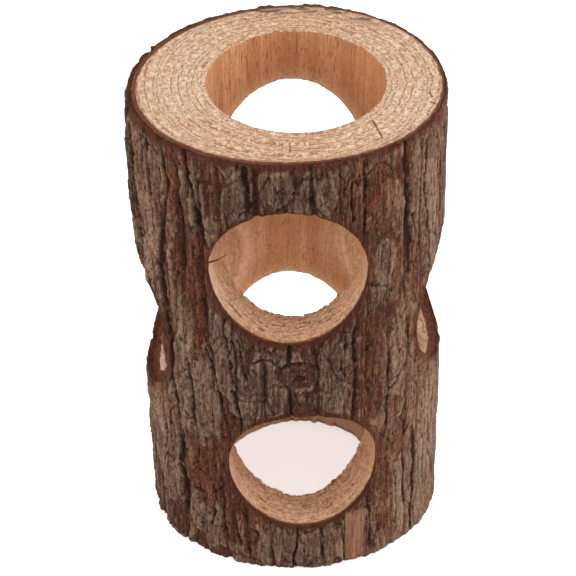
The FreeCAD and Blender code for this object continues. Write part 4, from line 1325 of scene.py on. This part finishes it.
def bark_material(name):
    """Furrowed outer bark: weathered grey-brown flakes over redder layers, with painted shade near black in
    its furrows.
    """
    nodes = Nodes(bpy.data.materials.new(name))
    shade, weather, tone = nodes.value("shade"), nodes.value("weather"), nodes.value("tone")
    grain = nodes.grain((0.9, 0.9, 0.34), 6.0, 0.7, 0.5)
    fibres = nodes.grain((1.5, 1.5, 0.4), 4.0, 0.7, 0.3, shift=(5.0, 1.0, 2.0))
    threads = nodes.grain((1.2, 1.2, 0.2), 4.0, 0.6, 0.6, shift=(1.0, 7.0, 3.0))
    crumbs = nodes.grain((1.6, 1.6, 1.3), 3.0, 0.75, shift=(9.0, 2.0, 4.0))
    clouds = nodes.grain((0.22, 0.22, 0.1), 4.0, 0.6)
    lichen = nodes.grain((0.7, 0.7, 0.42), 6.0, 0.72, 0.4, shift=(4.0, 8.0, 1.0))
    longs = nodes.grain((1.3, 1.3, 0.07), 3.0, 0.65, 0.4, shift=(8.0, 3.0, 6.0))
    patches = nodes.grain((0.5, 0.5, 0.2), 3.0, shift=(6.0, 6.0, 2.0))
    strip_fibres = nodes.grain((1.4, 1.4, 0.07), 4.0)

    # Three layers of bark: red-brown under tan-brown under weathered grey.
    red = nodes.mix(nodes.spread(grain, 0.32, 0.68), (84, 46, 33), (143, 85, 61))
    brown = nodes.mix(nodes.spread(fibres, 0.3, 0.7), (99, 65, 49), (162, 119, 93))
    grey = nodes.mix(nodes.spread(fibres, 0.28, 0.72), (109, 80, 66), (171, 135, 113))
    grey = nodes.mix(nodes.spread(clouds, 0.5, 0.72, 0.5), grey, (140, 101, 79))
    share = nodes.maths("ADD", weather, nodes.spread(lichen, 0.3, 0.7, 0.30, -0.30), clamp=True)
    pale = nodes.mix(nodes.spread(share, 0.25, 0.6), (174, 118, 88), (190, 152, 126))
    bare = nodes.mix(nodes.spread(strip_fibres, 0.35, 0.7), (146, 98, 76), (179, 129, 101))

    # Over them dark and pale fibres, fine threads, crumbs and a painted highlight on the raised lips of the
    # flakes;
    # then the bare strip, the cut edges and painted shade in the hollows.
    thread = nodes.spread(nodes.maths("ABSOLUTE", nodes.maths("SUBTRACT", threads, 0.5)), 0.03, 0.0)
    # How much painted shade there is, from the stored shade, broken up by the grain.
    dark = nodes.times(shade, nodes.spread(grain, 0.2, 0.6, 0.8, 1.0))
    face = nodes.tint(
        nodes.mix(nodes.spread(share, 0.18, 0.42), red, brown),
        (nodes.spread(share, 0.45, 0.78), grey),
        # Low tone darkens: flake tone, with painted shade over the front and a painted shadow on the upper
        # left.
        (nodes.spread(tone, -0.1, 0.8, 0.0, 0.78), (62, 37, 27)),
        (nodes.spread(tone, 0.6, 0.95, 0.5), (180, 146, 123)),
        (nodes.spread(longs, 0.52, 0.64, 0.55), (62, 34, 23)),
        (nodes.spread(longs, 0.46, 0.34, 0.5), pale),
        (nodes.times(thread, nodes.spread(patches, 0.38, 0.6), 0.75), (50, 26, 17)),
        (nodes.spread(crumbs, 0.53, 0.66, 0.65), (56, 31, 22)),
        (nodes.spread(crumbs, 0.44, 0.32, 0.5), pale),
        # Painted highlight on the raised lips of the flakes.
        (nodes.times(nodes.value("crest"), nodes.spread(share, 0.1, 0.6, 0.42, 0.16)), (196, 162, 137)),
        (nodes.value("strip"), bare),
        (nodes.times(nodes.value("inside"), 0.85), (96, 54, 38)),
        (nodes.times(nodes.value("edge"), 0.45), (92, 52, 38)),
        # Painted shade, near black, in the furrows, cracks and hollows.
        (nodes.spread(dark, 0.05, 0.9, 0.92), (36, 19, 12)))
    relief = nodes.plus(nodes.times(grain, 0.5), nodes.times(fibres, 0.45), nodes.times(crumbs, 0.25))
    relief = nodes.maths("SUBTRACT", relief, nodes.times(thread, 0.25))
    return nodes.finish(face, nodes.spread(share, 0.0, 1.0, 0.8, 0.92), 0.12, relief, 0.0009)


# ---- build the pieces ----

def place_piece(piece, node, material):
    """Let a piece stand in for a CAD node and its material."""
    piece.data.materials.clear()
    piece.data.materials.append(material)
    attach(piece, "root")
    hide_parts(node)


outer = bark_material("log outer bark")
place_piece(make_wood(), "wood_body", wood_material())
rims = hole_cutters("cut_rim_%d", rim_edge, RIM_STEP)
place_piece(make_inner_bark(rims), "inner_bark", inner_bark_material())
for number in range(len(FURROWS)):
    place_piece(make_ridge(number, rims), "bark_ridge_%02d" % (number + 1), outer)
for rim in rims:
    bpy.data.objects.remove(rim)
place_piece(make_knot(), "bark_knot", bark_material("log knot bark"))


# ---- floor, light and camera, in metres ----

FLOOR_HALF = 3.0
FLOOR_GLOW = 0.6            # how brightly the floor shines to the eye, so that it looks white
WORLD_LIGHT = 0.52          # how strongly the world lights things; to the eye its strength is 1
LAMP_AIM = (0.0, 0.0, 0.09)
# Each soft square lamp: name, place, size and power.
LAMPS = (
    ("top light", (0.05, -0.1, 0.85), 0.6, 1.9),
    ("left light", (-0.7, -0.15, 0.4), 0.5, 2.9),
    ("right light", (0.7, -0.15, 0.4), 0.5, 3.1),
)
CAMERA_PLACE = (0.002562, -0.514213, 0.47535)
CAMERA_RIGHT = Vector((0.99998407, 0.00181631, -0.00534354))
CAMERA_UP = Vector((0.00309788, 0.61477139, 0.78869927))
CAMERA_LENS = 141.44
CAMERA_SENSOR = 36.0


def build_floor():
    """Lay a pale floor that looks white to the camera and keeps the log's soft shadow."""
    half = FLOOR_HALF
    mesh = bpy.data.meshes.new("floor")
    mesh.from_pydata([(-half, -half, 0.0), (half, -half, 0.0), (half, half, 0.0), (-half, half, 0.0)],
                     [], [(0, 1, 2, 3)])
    floor = bpy.data.objects.new("floor", mesh)
    nodes = Nodes(bpy.data.materials.new("floor"))
    values = {"Base Color": (0.9, 0.9, 0.9, 1.0), "Roughness": 0.9, "Specular IOR Level": 0.0,
              "Emission Color": (1.0, 1.0, 1.0, 1.0),
              "Emission Strength": nodes.times(nodes.seen(), FLOOR_GLOW)}
    for name, value in values.items():
        nodes.feed(nodes.shader.inputs[name], value)
    floor.data.materials.append(nodes.owner)
    bpy.context.scene.collection.objects.link(floor)


def build_light():
    """Set the world's even light and the lamps."""
    world = bpy.data.worlds.new("studio")
    bpy.context.scene.world = world
    nodes = Nodes(world)
    nodes.feed(nodes.shader.inputs["Color"], (1.0, 1.0, 1.0, 1.0))
    nodes.feed(nodes.shader.inputs["Strength"], nodes.spread(nodes.seen(), 0.0, 1.0, 1.0, WORLD_LIGHT))
    for name, place, size, power in LAMPS:
        light = bpy.data.lights.new(name, "AREA")
        light.shape, light.size, light.energy = "SQUARE", size, power
        lamp = bpy.data.objects.new(name, light)
        bpy.context.scene.collection.objects.link(lamp)
        lamp.location = place
        lamp.rotation_euler = (Vector(LAMP_AIM) - Vector(place)).to_track_quat("-Z", "Y").to_euler()


def build_camera():
    """Set the camera above and in front of the log, looking down at it."""
    camera = bpy.data.cameras.new("camera")
    camera.lens = CAMERA_LENS
    camera.sensor_width = CAMERA_SENSOR
    obj = bpy.data.objects.new("camera", camera)
    turn = Matrix((CAMERA_RIGHT, CAMERA_UP, CAMERA_RIGHT.cross(CAMERA_UP))).transposed().to_4x4()
    obj.matrix_world = Matrix.Translation(CAMERA_PLACE) @ turn
    bpy.context.scene.collection.objects.link(obj)
    bpy.context.scene.camera = obj


build_floor()
build_light()
build_camera()
bpy.context.scene.view_settings.view_transform = "Standard"
